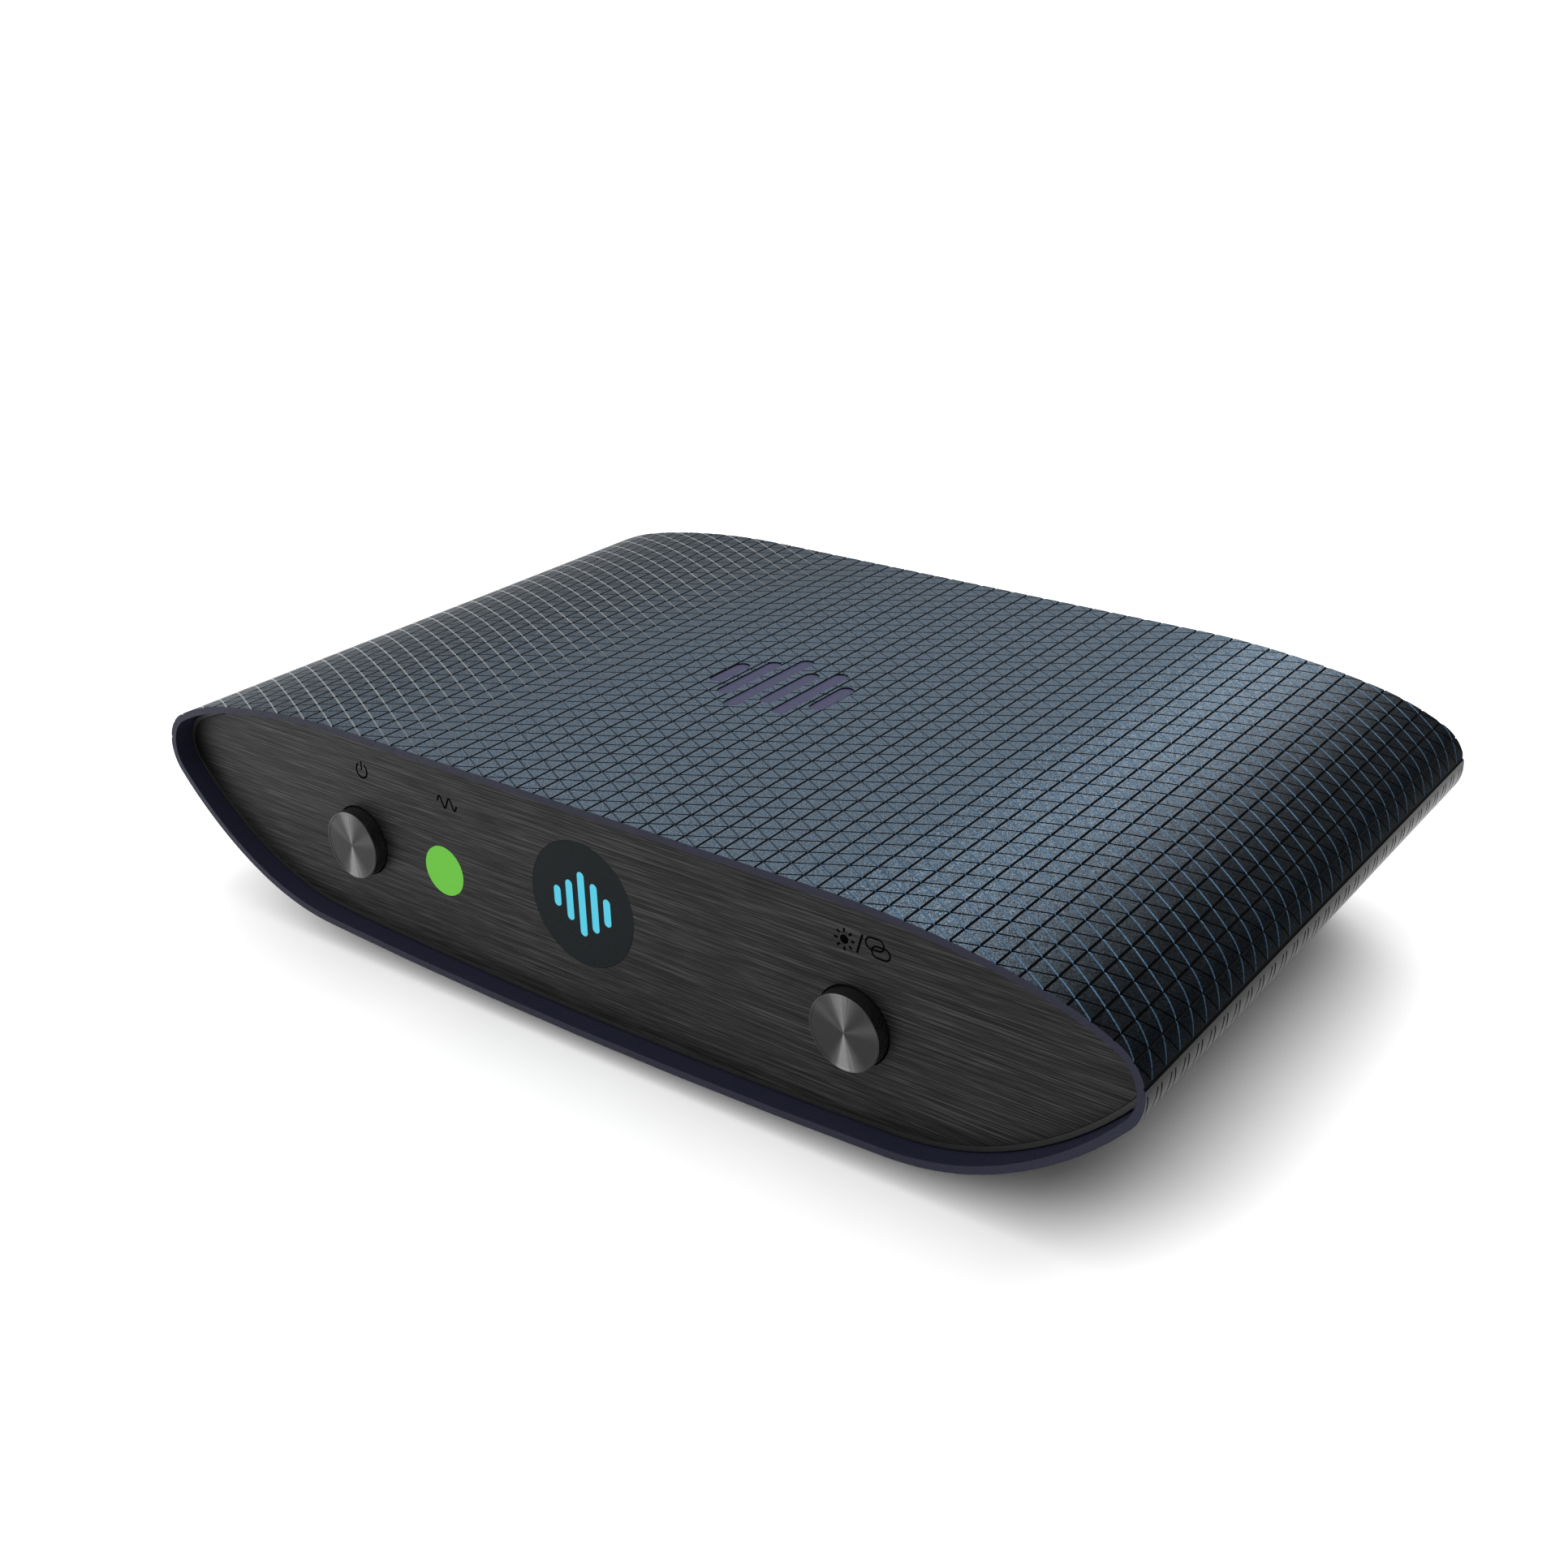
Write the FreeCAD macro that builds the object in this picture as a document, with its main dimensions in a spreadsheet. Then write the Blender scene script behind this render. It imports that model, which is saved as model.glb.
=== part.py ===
import FreeCAD, Part

import math
import os

# A desktop audio converter: an extruded aluminium sleeve of lens-like section, a brushed front plate with
# two push buttons, a sample-rate lamp and a round lit window, and a rear plate with the sockets and a
# folding antenna. Millimetres; X to the right seen from the front, Y to the back, Z up. The origin is
# under the middle of the object, on the surface that its feet stand on.

# ---- driving dimensions: alias, value, meaning ------------------------------------------------------------

SIZES = (
    ("shell_wide", 158, "sleeve, side to side"),
    ("shell_high", 32.4, "sleeve, top to bottom"),
    ("shell_deep", 93.2, "sleeve, front rim to rear rim"),
    ("over_deep", 102, "whole object, front rim to the antenna's knuckle"),
    ("foot_high", 2.6, "surface to the lowest line of the sleeve"),
    ("wall", 1, "sleeve wall"),
    ("flat_half", 39, "half of the flat stretch of the top"),
    ("shoulder_radius", 37, "arc between the crown and the corner"),
    ("corner_radius", 6, "arc round the widest line"),
    ("hip_radius", 38, "arc between the lower side and the bottom"),
    ("crown_turn", 78.1, "direction in degrees of the section's normal where the crown ends"),
    ("shoulder_turn", 62.3, "the same where the shoulder ends"),
    ("corner_turn", -41.7, "the same where the corner ends"),
    ("side_turn", -64.6, "the same where the lower side ends"),
    ("hip_turn", -87.15, "the same where the hip ends"),
    ("port_radius", 3, "screw ports inside the sleeve"),
    ("port_bore", 1.1, "screw hole in a port"),
    ("port_high_x", 66, "upper ports"),
    ("port_high_z", 9.4, "upper ports above the middle height"),
    ("port_low_x", 63.4, "lower ports"),
    ("port_low_z", -6.6, "lower ports above the middle height"),
    ("inlay_wide", 20, "mark let into the top"),
    ("inlay_back", 43.5, "front rim to the middle of that mark"),
    ("inlay_deep", 0.5, "depth of the recess for the mark"),
    ("inlay_thick", 0.3, "the mark's bars, which stand on the recess's floor"),
    ("plate_gap", 0.2, "panel edges to the sleeve's inner face"),
    ("plate_recess", 2.6, "front rim to the face of the front plate"),
    ("plate_thick", 1.5, "front plate"),
    ("lip", 0.65, "carrier's rim round the front plate"),
    ("lip_gap", 0.08, "front plate to that rim"),
    ("carrier_thick", 2.5, "carrier behind the front plate"),
    ("standoff", 6.4, "carrier to the front board"),
    ("post_x", 57, "carrier's posts for the front board"),
    ("post_radius", 2.6, "those posts"),
    ("button_x", 41.3, "button axes"),
    ("button_drop", 1.6, "button and lamp axes below the middle height"),
    ("button_radius", 4.85, "button caps"),
    ("button_proud", 1.92, "button caps in front of the front plate"),
    ("bevel", 0.25, "bevel round a cap's face"),
    ("button_gap", 0.15, "cap to the hole in the front plate"),
    ("flange_radius", 5.9, "collar that keeps a cap in"),
    ("flange_thick", 1, "that collar"),
    ("travel", 0.5, "button stroke"),
    ("slack", 0.1, "collar to carrier at rest"),
    ("dome_wide", 6, "push switch body"),
    ("dome_deep", 3.4, "push switch body"),
    ("plunger_radius", 1.7, "push switch plunger"),
    ("plunger_sunk", 0.8, "plunger inside its switch at rest"),
    ("lamp_x", -25.1, "lamp axis"),
    ("lamp_radius", 3.52, "lamp lens"),
    ("window_lift", 1.1, "round window's axis above the middle height"),
    ("window_radius", 8.5, "round window"),
    ("glyph_deep", 0.4, "lit mark let into the window"),
    ("bar_wide", 1.15, "one bar of the lit mark"),
    ("bar_step", 2.1, "bars of the lit mark, centre to centre"),
    ("board_thick", 1.6, "circuit boards"),
    ("front_board_wide", 118, "front board"),
    ("front_board_high", 17, "front board"),
    ("board_drop", 8.5, "main board's top below the middle height"),
    ("board_wide", 117, "main board"),
    ("board_front", 17, "front rim to the main board"),
    ("rail", 1.4, "ribs that hold the main board"),
    ("jack_rise", 5.5, "socket axes above the main board"),
    ("rear_thick", 1.5, "rear plate"),
    ("rear_recess", 1.5, "rear rim to the rear plate"),
    ("balanced_x", -51.5, "balanced output socket"),
    ("left_x", -37, "left line output"),
    ("right_x", -22, "right line output"),
    ("selector_x", -8, "slide switch"),
    ("coax_x", 4.5, "coaxial digital input"),
    ("optical_x", 18.5, "optical digital input"),
    ("data_x", 34.5, "computer data input"),
    ("power_x", 50, "power inlet"),
    ("antenna_x", 54, "antenna axis"),
    ("antenna_z", 8.6, "antenna axis above the middle height"),
    ("shell_radius", 4.15, "phono socket's outer tube"),
    ("tube_wall", 0.7, "that tube's wall"),
    ("tube_long", 7, "that tube outside the rear plate"),
    ("contact_bore", 1.6, "phono socket's centre contact"),
    ("contact_radius", 2.1, "outside of that contact"),
    ("housing_wide", 10, "phono socket's housing"),
    ("housing_deep", 11, "phono socket's housing"),
    ("neck_radius", 4, "necks of the balanced socket and the power inlet in the rear plate"),
    ("nut_radius", 5.6, "balanced socket's nut"),
    ("nut_thick", 2, "that nut"),
    ("headset_bore", 2.2, "balanced socket's bore"),
    ("headset_deep", 22, "balanced socket's bore, from the nut's face"),
    ("barrel_bore", 2.75, "power inlet's bore"),
    ("barrel_pin", 1.05, "power inlet's pin"),
    ("barrel_deep", 9, "power inlet's bore"),
    ("data_wide", 12, "data socket's shell"),
    ("data_high", 11, "data socket's shell"),
    ("optical_neck", 8.8, "optical input's neck in the rear plate"),
    ("knob_wide", 2.4, "slide switch's knob"),
    ("knob_high", 2.2, "slide switch's knob"),
    ("knob_travel", 2.6, "slide switch's throw"),
    ("shutter_wide", 6.2, "optical input's shutter"),
    ("shutter_thick", 0.8, "optical input's shutter"),
    ("antenna_neck", 2.5, "neck of the antenna's base in the rear plate"),
    ("base_radius", 3.6, "antenna's base"),
    ("spigot_radius", 1.5, "antenna's turning spigot"),
    ("knuckle_radius", 2.9, "antenna's knuckle"),
    ("blade_long", 92, "antenna from its hinge pin to its tip"),
    ("blade_high", 5, "antenna blade"),
    ("blade_thick", 4, "antenna blade"),
    ("pin_radius", 0.8, "antenna's hinge pin"),
    ("foot_radius", 6, "feet"),
    ("foot_x", 47, "feet"),
    ("foot_front", 17, "front rim to the front feet"),
    ("foot_rear", 76, "front rim to the rear feet"),
    ("head_radius", 2.1, "screw heads"),
    ("head_thick", 1.2, "screw heads"),
    ("shank_radius", 1.05, "screw shanks"),
    ("socket_radius", 0.9, "drive recess in a screw head"),
)

doc = FreeCAD.newDocument("desktop_converter")
sheet = doc.addObject("Spreadsheet::Sheet", "sizes")
for row, (alias, value, meaning) in enumerate(SIZES, start=1):
    sheet.set(f"A{row}", meaning)
    sheet.set(f"B{row}", str(value))
    sheet.setAlias(f"B{row}", alias)
doc.recompute()

# ---- places shared by several pieces, as expressions ------------------------------------------------------

FRONT = "(-sizes.over_deep / 2)"
REAR = f"({FRONT} + sizes.shell_deep)"
MIDDLE = "(sizes.foot_high + sizes.shell_high / 2)"
PLATE_FACE = f"({FRONT} + sizes.plate_recess)"
CARRIER_FACE = f"({PLATE_FACE} + sizes.plate_thick)"
CARRIER_BACK = f"({CARRIER_FACE} + sizes.carrier_thick)"
FRONT_BOARD = f"({CARRIER_BACK} + sizes.standoff)"
FRONT_BOARD_BACK = f"({FRONT_BOARD} + sizes.board_thick)"
PANEL_INSET = "(sizes.wall + sizes.plate_gap)"
BUTTON_Z = f"({MIDDLE} - sizes.button_drop)"
WINDOW_Z = f"({MIDDLE} + sizes.window_lift)"
REAR_FACE = f"({REAR} - sizes.rear_recess)"
REAR_INNER = f"({REAR_FACE} - sizes.rear_thick)"
BOARD_TOP = f"({MIDDLE} - sizes.board_drop)"
JACK_Z = f"({BOARD_TOP} + sizes.jack_rise)"
ANTENNA_Z = f"({MIDDLE} + sizes.antenna_z)"
KNUCKLE_Y = "(sizes.over_deep / 2 - sizes.knuckle_radius)"
TOP = "(sizes.foot_high + sizes.shell_high)"

pieces = []


def size(alias):
    """The sheet's number for an alias."""
    return float(sheet.get(alias))


def bind(thing, **expressions):
    """Ties properties of an object to the sheet."""
    for name, expression in expressions.items():
        thing.setExpression(name, str(expression))
    return thing


def put(thing, x="0", y="0", z="0", turn=None):
    """Places an object, with an optional turn as an axis and degrees."""
    if turn is not None:
        axis, degrees = turn
        turned = FreeCAD.Rotation(FreeCAD.Vector(*axis), degrees)
        thing.Placement = FreeCAD.Placement(FreeCAD.Vector(), turned)
    thing.setExpression("Placement.Base.x", str(x))
    thing.setExpression("Placement.Base.y", str(y))
    thing.setExpression("Placement.Base.z", str(z))
    return thing


def block(name, wide, deep, high, x, y, z):
    """A box: x and z of its centre, y of its front face."""
    made = bind(doc.addObject("Part::Box", name), Length=wide, Width=deep, Height=high)
    return put(made, f"{x} - ({wide}) / 2", y, f"{z} - ({high}) / 2")


def rod(name, radius, long, x, y, z):
    """A cylinder along Y from its front end."""
    made = bind(doc.addObject("Part::Cylinder", name), Radius=radius, Height=long)
    return put(made, x, y, z, ((1, 0, 0), -90))


def post(name, radius, high, x, y, z):
    """A cylinder along Z from its lower end."""
    return put(bind(doc.addObject("Part::Cylinder", name), Radius=radius, Height=high), x, y, z)


def pin(name, radius, wide, x, y, z):
    """A cylinder along X, centred on x."""
    made = bind(doc.addObject("Part::Cylinder", name), Radius=radius, Height=wide)
    return put(made, f"{x} - ({wide}) / 2", y, z, ((0, 1, 0), 90))


def fuse(name, *things):
    made = doc.addObject("Part::MultiFuse", name)
    made.Shapes = list(things)
    return made


def common(name, *things):
    made = doc.addObject("Part::MultiCommon", name)
    made.Shapes = list(things)
    return made


def cut(name, base, *tools):
    """The base less one or more tools."""
    made = doc.addObject("Part::Cut", name)
    made.Base = base
    made.Tool = tools[0] if len(tools) == 1 else fuse(f"{name}_tools", *tools)
    return made


def group(name, *things):
    """Separate solids of one kind kept in one node."""
    made = doc.addObject("Part::Compound", name)
    made.Links = list(things)
    return made


def keep(thing, label):
    """Marks an object as a finished piece."""
    thing.Label = label
    pieces.append(thing)
    return thing


# ---- the sleeve's section ---------------------------------------------------------------------------------

def run_x(start, end):
    """How far along X a unit arc goes between two directions of its normal, in degrees."""
    return math.cos(math.radians(end)) - math.cos(math.radians(start))


def run_z(start, end):
    """The same along Z."""
    return math.sin(math.radians(end)) - math.sin(math.radians(start))


def section_arcs():
    """The right half of the section as tangent arcs: centre x, centre z, radius, start and end direction.

    The crown's and the lower side's radii follow from the sleeve's width and height. The last arc is
    centred on the symmetry plane. Heights are from the sleeve's middle."""
    half_wide = size("shell_wide") / 2
    half_high = size("shell_high") / 2
    crown, shoulder, corner, side, hip = (
        size(f"{part}_turn") for part in ("crown", "shoulder", "corner", "side", "hip")
    )
    shoulder_radius = size("shoulder_radius")
    corner_radius = size("corner_radius")
    hip_radius = size("hip_radius")
    across = half_wide - size("flat_half") - shoulder_radius * run_x(crown, shoulder)
    crown_radius = (across - corner_radius * run_x(shoulder, 0)) / run_x(90, crown)
    x = half_wide + corner_radius * run_x(0, corner)
    z = half_high + crown_radius * run_z(90, crown) + shoulder_radius * run_z(crown, shoulder)
    z += corner_radius * run_z(shoulder, corner)
    sag = run_z(hip, -90) / math.cos(math.radians(hip))
    missing = -half_high - z - hip_radius * run_z(side, hip) - sag * (x + hip_radius * run_x(side, hip))
    side_radius = missing / (run_z(corner, side) + sag * run_x(corner, side))
    arcs = []
    x, z = size("flat_half"), half_high
    stretches = (
        (crown_radius, 90, crown),
        (shoulder_radius, crown, shoulder),
        (corner_radius, shoulder, corner),
        (side_radius, corner, side),
        (hip_radius, side, hip),
    )
    for radius, start, end in stretches:
        centre_x = x - radius * math.cos(math.radians(start))
        centre_z = z - radius * math.sin(math.radians(start))
        arcs.append((centre_x, centre_z, radius, start, end))
        x = centre_x + radius * math.cos(math.radians(end))
        z = centre_z + radius * math.sin(math.radians(end))
    bottom_radius = x / math.cos(math.radians(hip))
    arcs.append((0, z - bottom_radius * math.sin(math.radians(hip)), bottom_radius, hip, -90))
    return arcs


def section_edges(inset):
    """The closed outline, moved inwards by inset, in a sketch's own X and Y."""
    up = FreeCAD.Vector(0, 0, 1)
    flat = size("flat_half")
    top = size("shell_high") / 2 - inset
    edges = [Part.LineSegment(FreeCAD.Vector(-flat, top, 0), FreeCAD.Vector(flat, top, 0))]
    for x, z, radius, start, end in section_arcs():
        for side, first, last in ((1, end, start), (-1, 180 - start, 180 - end)):
            circle = Part.Circle(FreeCAD.Vector(side * x, z, 0), up, radius - inset)
            edges.append(Part.ArcOfCircle(circle, math.radians(first), math.radians(last)))
    return edges


def section_body(name, inset, deep, y):
    """A body padded along +Y from the section moved inwards by inset."""
    body = doc.addObject("PartDesign::Body", name)
    sketch = body.newObject("Sketcher::SketchObject", f"{name}_outline")
    plane = [feature for feature in body.Origin.OriginFeatures if feature.Role == "XZ_Plane"][0]
    sketch.AttachmentSupport = (plane, [""])
    sketch.MapMode = "FlatFace"
    sketch.addGeometry(section_edges(inset), False)
    pad = body.newObject("PartDesign::Pad", f"{name}_pad")
    pad.Profile = sketch
    pad.Reversed = True
    bind(pad, Length=deep)
    return put(body, "0", y, MIDDLE)


# ---- casing -----------------------------------------------------------------------------------------------

def ports():
    """Name, x and z of the four screw ports."""
    for place in ("high", "low"):
        for side, sign in (("left", "-"), ("right", "")):
            yield f"{place}_{side}", f"{sign}sizes.port_{place}_x", f"{MIDDLE} + sizes.port_{place}_z"


def mark_bars(name, heights, wide, step, thick, x, y, z, upright):
    """Round-ended bars side by side, a plain sound-level mark. Upright bars stand along Z and are thick
    along Y; flat bars lie along Y and are thick along Z."""
    bars = []
    for count, high in enumerate(heights):
        along = f"{x} + ({count} - {len(heights) - 1} / 2) * {step}"
        straight = f"({high} - {wide})"
        made = []
        for end in "+-":
            label = f"{name}_end_{count}_{end}"
            if upright:
                made.append(rod(label, f"{wide} / 2", thick, along, y, f"{z} {end} {straight} / 2"))
            else:
                made.append(post(label, f"{wide} / 2", thick, along, f"{y} {end} {straight} / 2", z))
        label = f"{name}_bar_{count}"
        if upright:
            made.append(block(label, wide, thick, straight, along, y, z))
        else:
            made.append(block(label, wide, straight, thick, along, f"{y} - {straight} / 2",
                              f"{z} + {thick} / 2"))
        bars.append(fuse(f"{name}_{count}", *made))
    return bars


def top_mark(name, thick):
    """The mark's bars, from the floor of the recess in the sleeve's top."""
    heights = [f"(sizes.inlay_wide * {share})" for share in (0.38, 0.66, 0.95, 0.6, 0.8, 0.44)]
    floor = f"{TOP} - sizes.inlay_deep"
    middle = f"({FRONT} + sizes.inlay_back)"
    return mark_bars(name, heights, "(sizes.inlay_wide * 0.115)", "(sizes.inlay_wide * 0.177)",
                     thick, "0", middle, floor, upright=False)


def sleeve():
    """The extruded tube with its ports and board ribs inside and a shallow recess on top."""
    outer = section_body("sleeve_outside", 0, "sizes.shell_deep", FRONT)
    inner = section_body("sleeve_inside", size("wall"), "sizes.shell_deep", FRONT)
    tube = cut("sleeve_tube", outer, inner)
    port_long = f"({REAR_INNER} - {CARRIER_BACK})"
    rib_y = f"({FRONT} + sizes.board_front - 1)"
    rib_long = f"({REAR_INNER} - {rib_y})"
    ribs = []
    bores = []
    for name, x, z in ports():
        ribs.append(rod(f"port_{name}", "sizes.port_radius", port_long, x, CARRIER_BACK, z))
        bores.append(rod(f"port_bore_{name}", "sizes.port_bore", port_long, x, CARRIER_BACK, z))
    reach = "(sizes.port_low_x - sizes.board_wide / 2)"
    for side, sign in (("left", -1), ("right", 1)):
        middle = f"{sign} * (sizes.board_wide + {reach}) / 2"
        for name, height in (("over", f"{BOARD_TOP} + sizes.rail * 0.6"),
                             ("under", f"{BOARD_TOP} - sizes.board_thick - sizes.rail * 0.6")):
            ribs.append(block(f"rib_{name}_{side}", f"{reach} + 2.4", rib_long, "sizes.rail",
                              middle, rib_y, height))
    inside = common("sleeve_ribs", fuse("sleeve_ribs_whole", *ribs),
                    section_body("rib_limit", size("wall") / 2, "sizes.shell_deep", FRONT))
    mark = fuse("sleeve_mark", *top_mark("recess", "sizes.inlay_deep"))
    return keep(cut("sleeve_cut", fuse("sleeve_whole", tube, inside), *bores, mark), "sleeve")


def top_inlay():
    return keep(group("inlay", *top_mark("inlay", "sizes.inlay_thick")), "top_inlay")


def feet():
    """Four rubber feet cut to the sleeve's curved bottom."""
    discs = []
    for end in ("front", "rear"):
        for side, sign in (("left", "-"), ("right", "")):
            discs.append(post(f"foot_disc_{end}_{side}", "sizes.foot_radius", "sizes.foot_high + 2",
                              f"{sign}sizes.foot_x", f"{FRONT} + sizes.foot_{end}", "0"))
    whole = group("foot_discs", *discs)
    return keep(cut("feet_cut", whole, section_body("foot_limit", 0, "sizes.shell_deep", FRONT)), "feet")


# ---- front ------------------------------------------------------------------------------------------------

def front_holes(name, y, deep, spare):
    """Holes for the two caps, the lamp and the window, each larger than its piece by spare."""
    cap_hole = f"sizes.button_radius + sizes.button_gap + {spare}"
    return [
        rod(f"{name}_power", cap_hole, deep, "-sizes.button_x", y, BUTTON_Z),
        rod(f"{name}_pair", cap_hole, deep, "sizes.button_x", y, BUTTON_Z),
        rod(f"{name}_lamp", f"sizes.lamp_radius + {spare}", deep, "sizes.lamp_x", y, BUTTON_Z),
        rod(f"{name}_window", f"sizes.window_radius + {spare}", deep, "0", y, WINDOW_Z),
    ]


def front_plate():
    inset = size("wall") + size("plate_gap") + size("lip") + size("lip_gap")
    blank = section_body("plate_blank", inset, "sizes.plate_thick", PLATE_FACE)
    holes = front_holes("plate", PLATE_FACE, "sizes.plate_thick", "0.05")
    return keep(cut("plate_cut", blank, *holes), "front_plate")


def screw_heads(name, y, spare):
    """Counterbores for the four screws that hold a panel, from y backwards."""
    return [rod(f"{name}_{port}", f"sizes.head_radius + {spare}", f"sizes.head_thick + {spare}", x, y, z)
            for port, x, z in ports()]


def front_carrier():
    """The moulded frame behind the front plate: rim, screw holes, light box and posts."""
    inset = size("wall") + size("plate_gap")
    rim_deep = "(sizes.plate_thick - sizes.lip_gap)"
    rim_y = f"{CARRIER_FACE} - {rim_deep}"
    blank = section_body("carrier_blank", inset, f"{rim_deep} + sizes.carrier_thick", rim_y)
    pocket = section_body("carrier_pocket", inset + size("lip"), rim_deep, rim_y)
    solids = [cut("carrier_tray", blank, pocket)]
    wall = rod("light_box_outside", "sizes.window_radius + 1.6", "sizes.standoff - 0.4", "0",
               CARRIER_BACK, WINDOW_Z)
    hollow = rod("light_box_inside", "sizes.window_radius + 0.1", "sizes.standoff", "0",
                 CARRIER_BACK, WINDOW_Z)
    solids.append(cut("light_box", wall, hollow))
    solids += carrier_posts("carrier_post", "sizes.post_radius", "sizes.standoff", CARRIER_BACK)
    holes = front_holes("carrier", CARRIER_FACE, "sizes.carrier_thick", "0.1")
    holes += screw_heads("carrier_head", CARRIER_FACE, "0.1")
    holes += [rod(f"carrier_shank_{port}", "sizes.shank_radius + 0.15", "sizes.carrier_thick", x,
                  CARRIER_FACE, z) for port, x, z in ports()]
    holes += carrier_posts("carrier_post_bore", "sizes.shank_radius", "sizes.standoff", CARRIER_BACK)
    return keep(cut("carrier_cut", fuse("carrier_whole", *solids), *holes), "front_carrier")


def carrier_posts(name, radius, long, y):
    """One cylinder on each of the front board's two fixing axes."""
    return [rod(f"{name}_{side}", radius, long, f"{sign}sizes.post_x", y, MIDDLE)
            for side, sign in (("left", "-"), ("right", ""))]


def screw(name, x, y, z, long, forwards):
    """A socket-head screw along Y. Its head's face is at y, and its shank points forwards (-Y) or back."""
    head_y = f"{y} - sizes.head_thick" if forwards else y
    shank_y = f"{y} - sizes.head_thick - {long}" if forwards else f"{y} + sizes.head_thick"
    recess_deep = "sizes.head_thick * 0.6"
    recess_y = f"{y} - {recess_deep}" if forwards else y
    whole = fuse(f"{name}_whole", rod(f"{name}_head", "sizes.head_radius", "sizes.head_thick", x, head_y, z),
                 rod(f"{name}_shank", "sizes.shank_radius", long, x, shank_y, z))
    recess = doc.addObject("Part::Prism", f"{name}_recess")
    bind(recess, Circumradius="sizes.socket_radius", Height=recess_deep)
    recess.Polygon = 6
    put(recess, x, recess_y, z, ((1, 0, 0), -90))
    return cut(name, whole, recess)


def front_screws():
    made = [screw(f"front_screw_{port}", x, CARRIER_FACE, z, "6", forwards=False) for port, x, z in ports()]
    return keep(group("front_screw_set", *made), "front_screws")


def window():
    """The tinted disc, with pockets for the lit mark."""
    disc = rod("window_disc", "sizes.window_radius", "sizes.plate_thick", "0", PLATE_FACE, WINDOW_Z)
    return keep(cut("window_cut", disc, fuse("window_pockets", *lit_bars("pocket"))), "display_window")


def lit_bars(name):
    heights = [f"(sizes.window_radius * {share})" for share in (0.34, 0.66, 1.05, 0.8, 0.45)]
    return mark_bars(name, heights, "sizes.bar_wide", "sizes.bar_step", "sizes.glyph_deep", "0",
                     PLATE_FACE, WINDOW_Z, upright=True)


def glyph():
    return keep(group("glyph_bars", *lit_bars("lit")), "display_mark")


def diffuser():
    """The white disc behind the window that spreads the light."""
    disc = rod("diffuser_disc", "sizes.window_radius", "sizes.carrier_thick", "0", CARRIER_FACE, WINDOW_Z)
    return keep(disc, "display_diffuser")


def chip(name, x, y, z):
    """A small lamp soldered to the front board, facing forwards."""
    return block(name, "3", "1.2", "2.4", x, f"{y} - 1.2", z)


def display_leds():
    made = [chip(f"display_led_{count}", f"{count - 1} * 4.6", FRONT_BOARD, WINDOW_Z) for count in range(3)]
    return keep(group("display_led_set", *made), "display_leds")


def lamp():
    """The lens and light pipe in front of the status lamp."""
    lens = rod("lens_front", "sizes.lamp_radius", "sizes.plate_thick + sizes.carrier_thick", "sizes.lamp_x",
               PLATE_FACE, BUTTON_Z)
    pipe = rod("lens_pipe", "sizes.lamp_radius - 1", "sizes.standoff - 1.6", "sizes.lamp_x",
               CARRIER_BACK, BUTTON_Z)
    return keep(fuse("lens", lens, pipe), "status_lens")


def status_led():
    return keep(chip("status_chip", "sizes.lamp_x", FRONT_BOARD, BUTTON_Z), "status_led")


def button(name, sign):
    """A turned cap with a shallow bevel on its face and a collar behind the carrier."""
    x = f"{sign}sizes.button_x"
    face = f"({PLATE_FACE} - sizes.button_proud)"
    collar_y = f"({CARRIER_BACK} + sizes.slack)"
    bevel = bind(doc.addObject("Part::Cone", f"{name}_bevel"), Radius1="sizes.button_radius - sizes.bevel",
                 Radius2="sizes.button_radius", Height="sizes.bevel")
    put(bevel, x, face, BUTTON_Z, ((1, 0, 0), -90))
    shank_y = f"({face} + sizes.bevel)"
    shank = rod(f"{name}_shank", "sizes.button_radius", f"{collar_y} - {shank_y}", x, shank_y, BUTTON_Z)
    collar = rod(f"{name}_collar", "sizes.flange_radius", "sizes.flange_thick", x, collar_y, BUTTON_Z)
    keep(fuse(name, bevel, shank, collar), f"{name}_button")
    plunger_y = f"({collar_y} + sizes.flange_thick)"
    switch_y = f"({FRONT_BOARD} - sizes.dome_deep)"
    plunger_long = f"({switch_y} - {plunger_y} + sizes.plunger_sunk)"
    keep(rod(f"{name}_rod", "sizes.plunger_radius", plunger_long, x, plunger_y, BUTTON_Z), f"{name}_plunger")
    body = block(f"{name}_case", "sizes.dome_wide", "sizes.dome_deep", "sizes.dome_wide", x,
                 switch_y, BUTTON_Z)
    well = rod(f"{name}_well", "sizes.plunger_radius + 0.05", "sizes.plunger_sunk + sizes.travel + 0.3", x,
               switch_y, BUTTON_Z)
    keep(cut(f"{name}_switch_cut", body, well), f"{name}_switch")


def front_board():
    blank = block("front_board_blank", "sizes.front_board_wide", "sizes.board_thick",
                  "sizes.front_board_high", "0", FRONT_BOARD, MIDDLE)
    holes = carrier_posts("front_board_hole", "sizes.shank_radius + 0.15", "sizes.board_thick", FRONT_BOARD)
    keep(cut("front_board_cut", blank, *holes), "front_board")
    head_y = f"{FRONT_BOARD_BACK} + sizes.head_thick"
    made = [screw(f"board_screw_{side}", f"{sign}sizes.post_x", head_y, MIDDLE, "4.5", forwards=True)
            for side, sign in (("left", "-"), ("right", ""))]
    keep(group("board_screw_set", *made), "front_board_screws")


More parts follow.
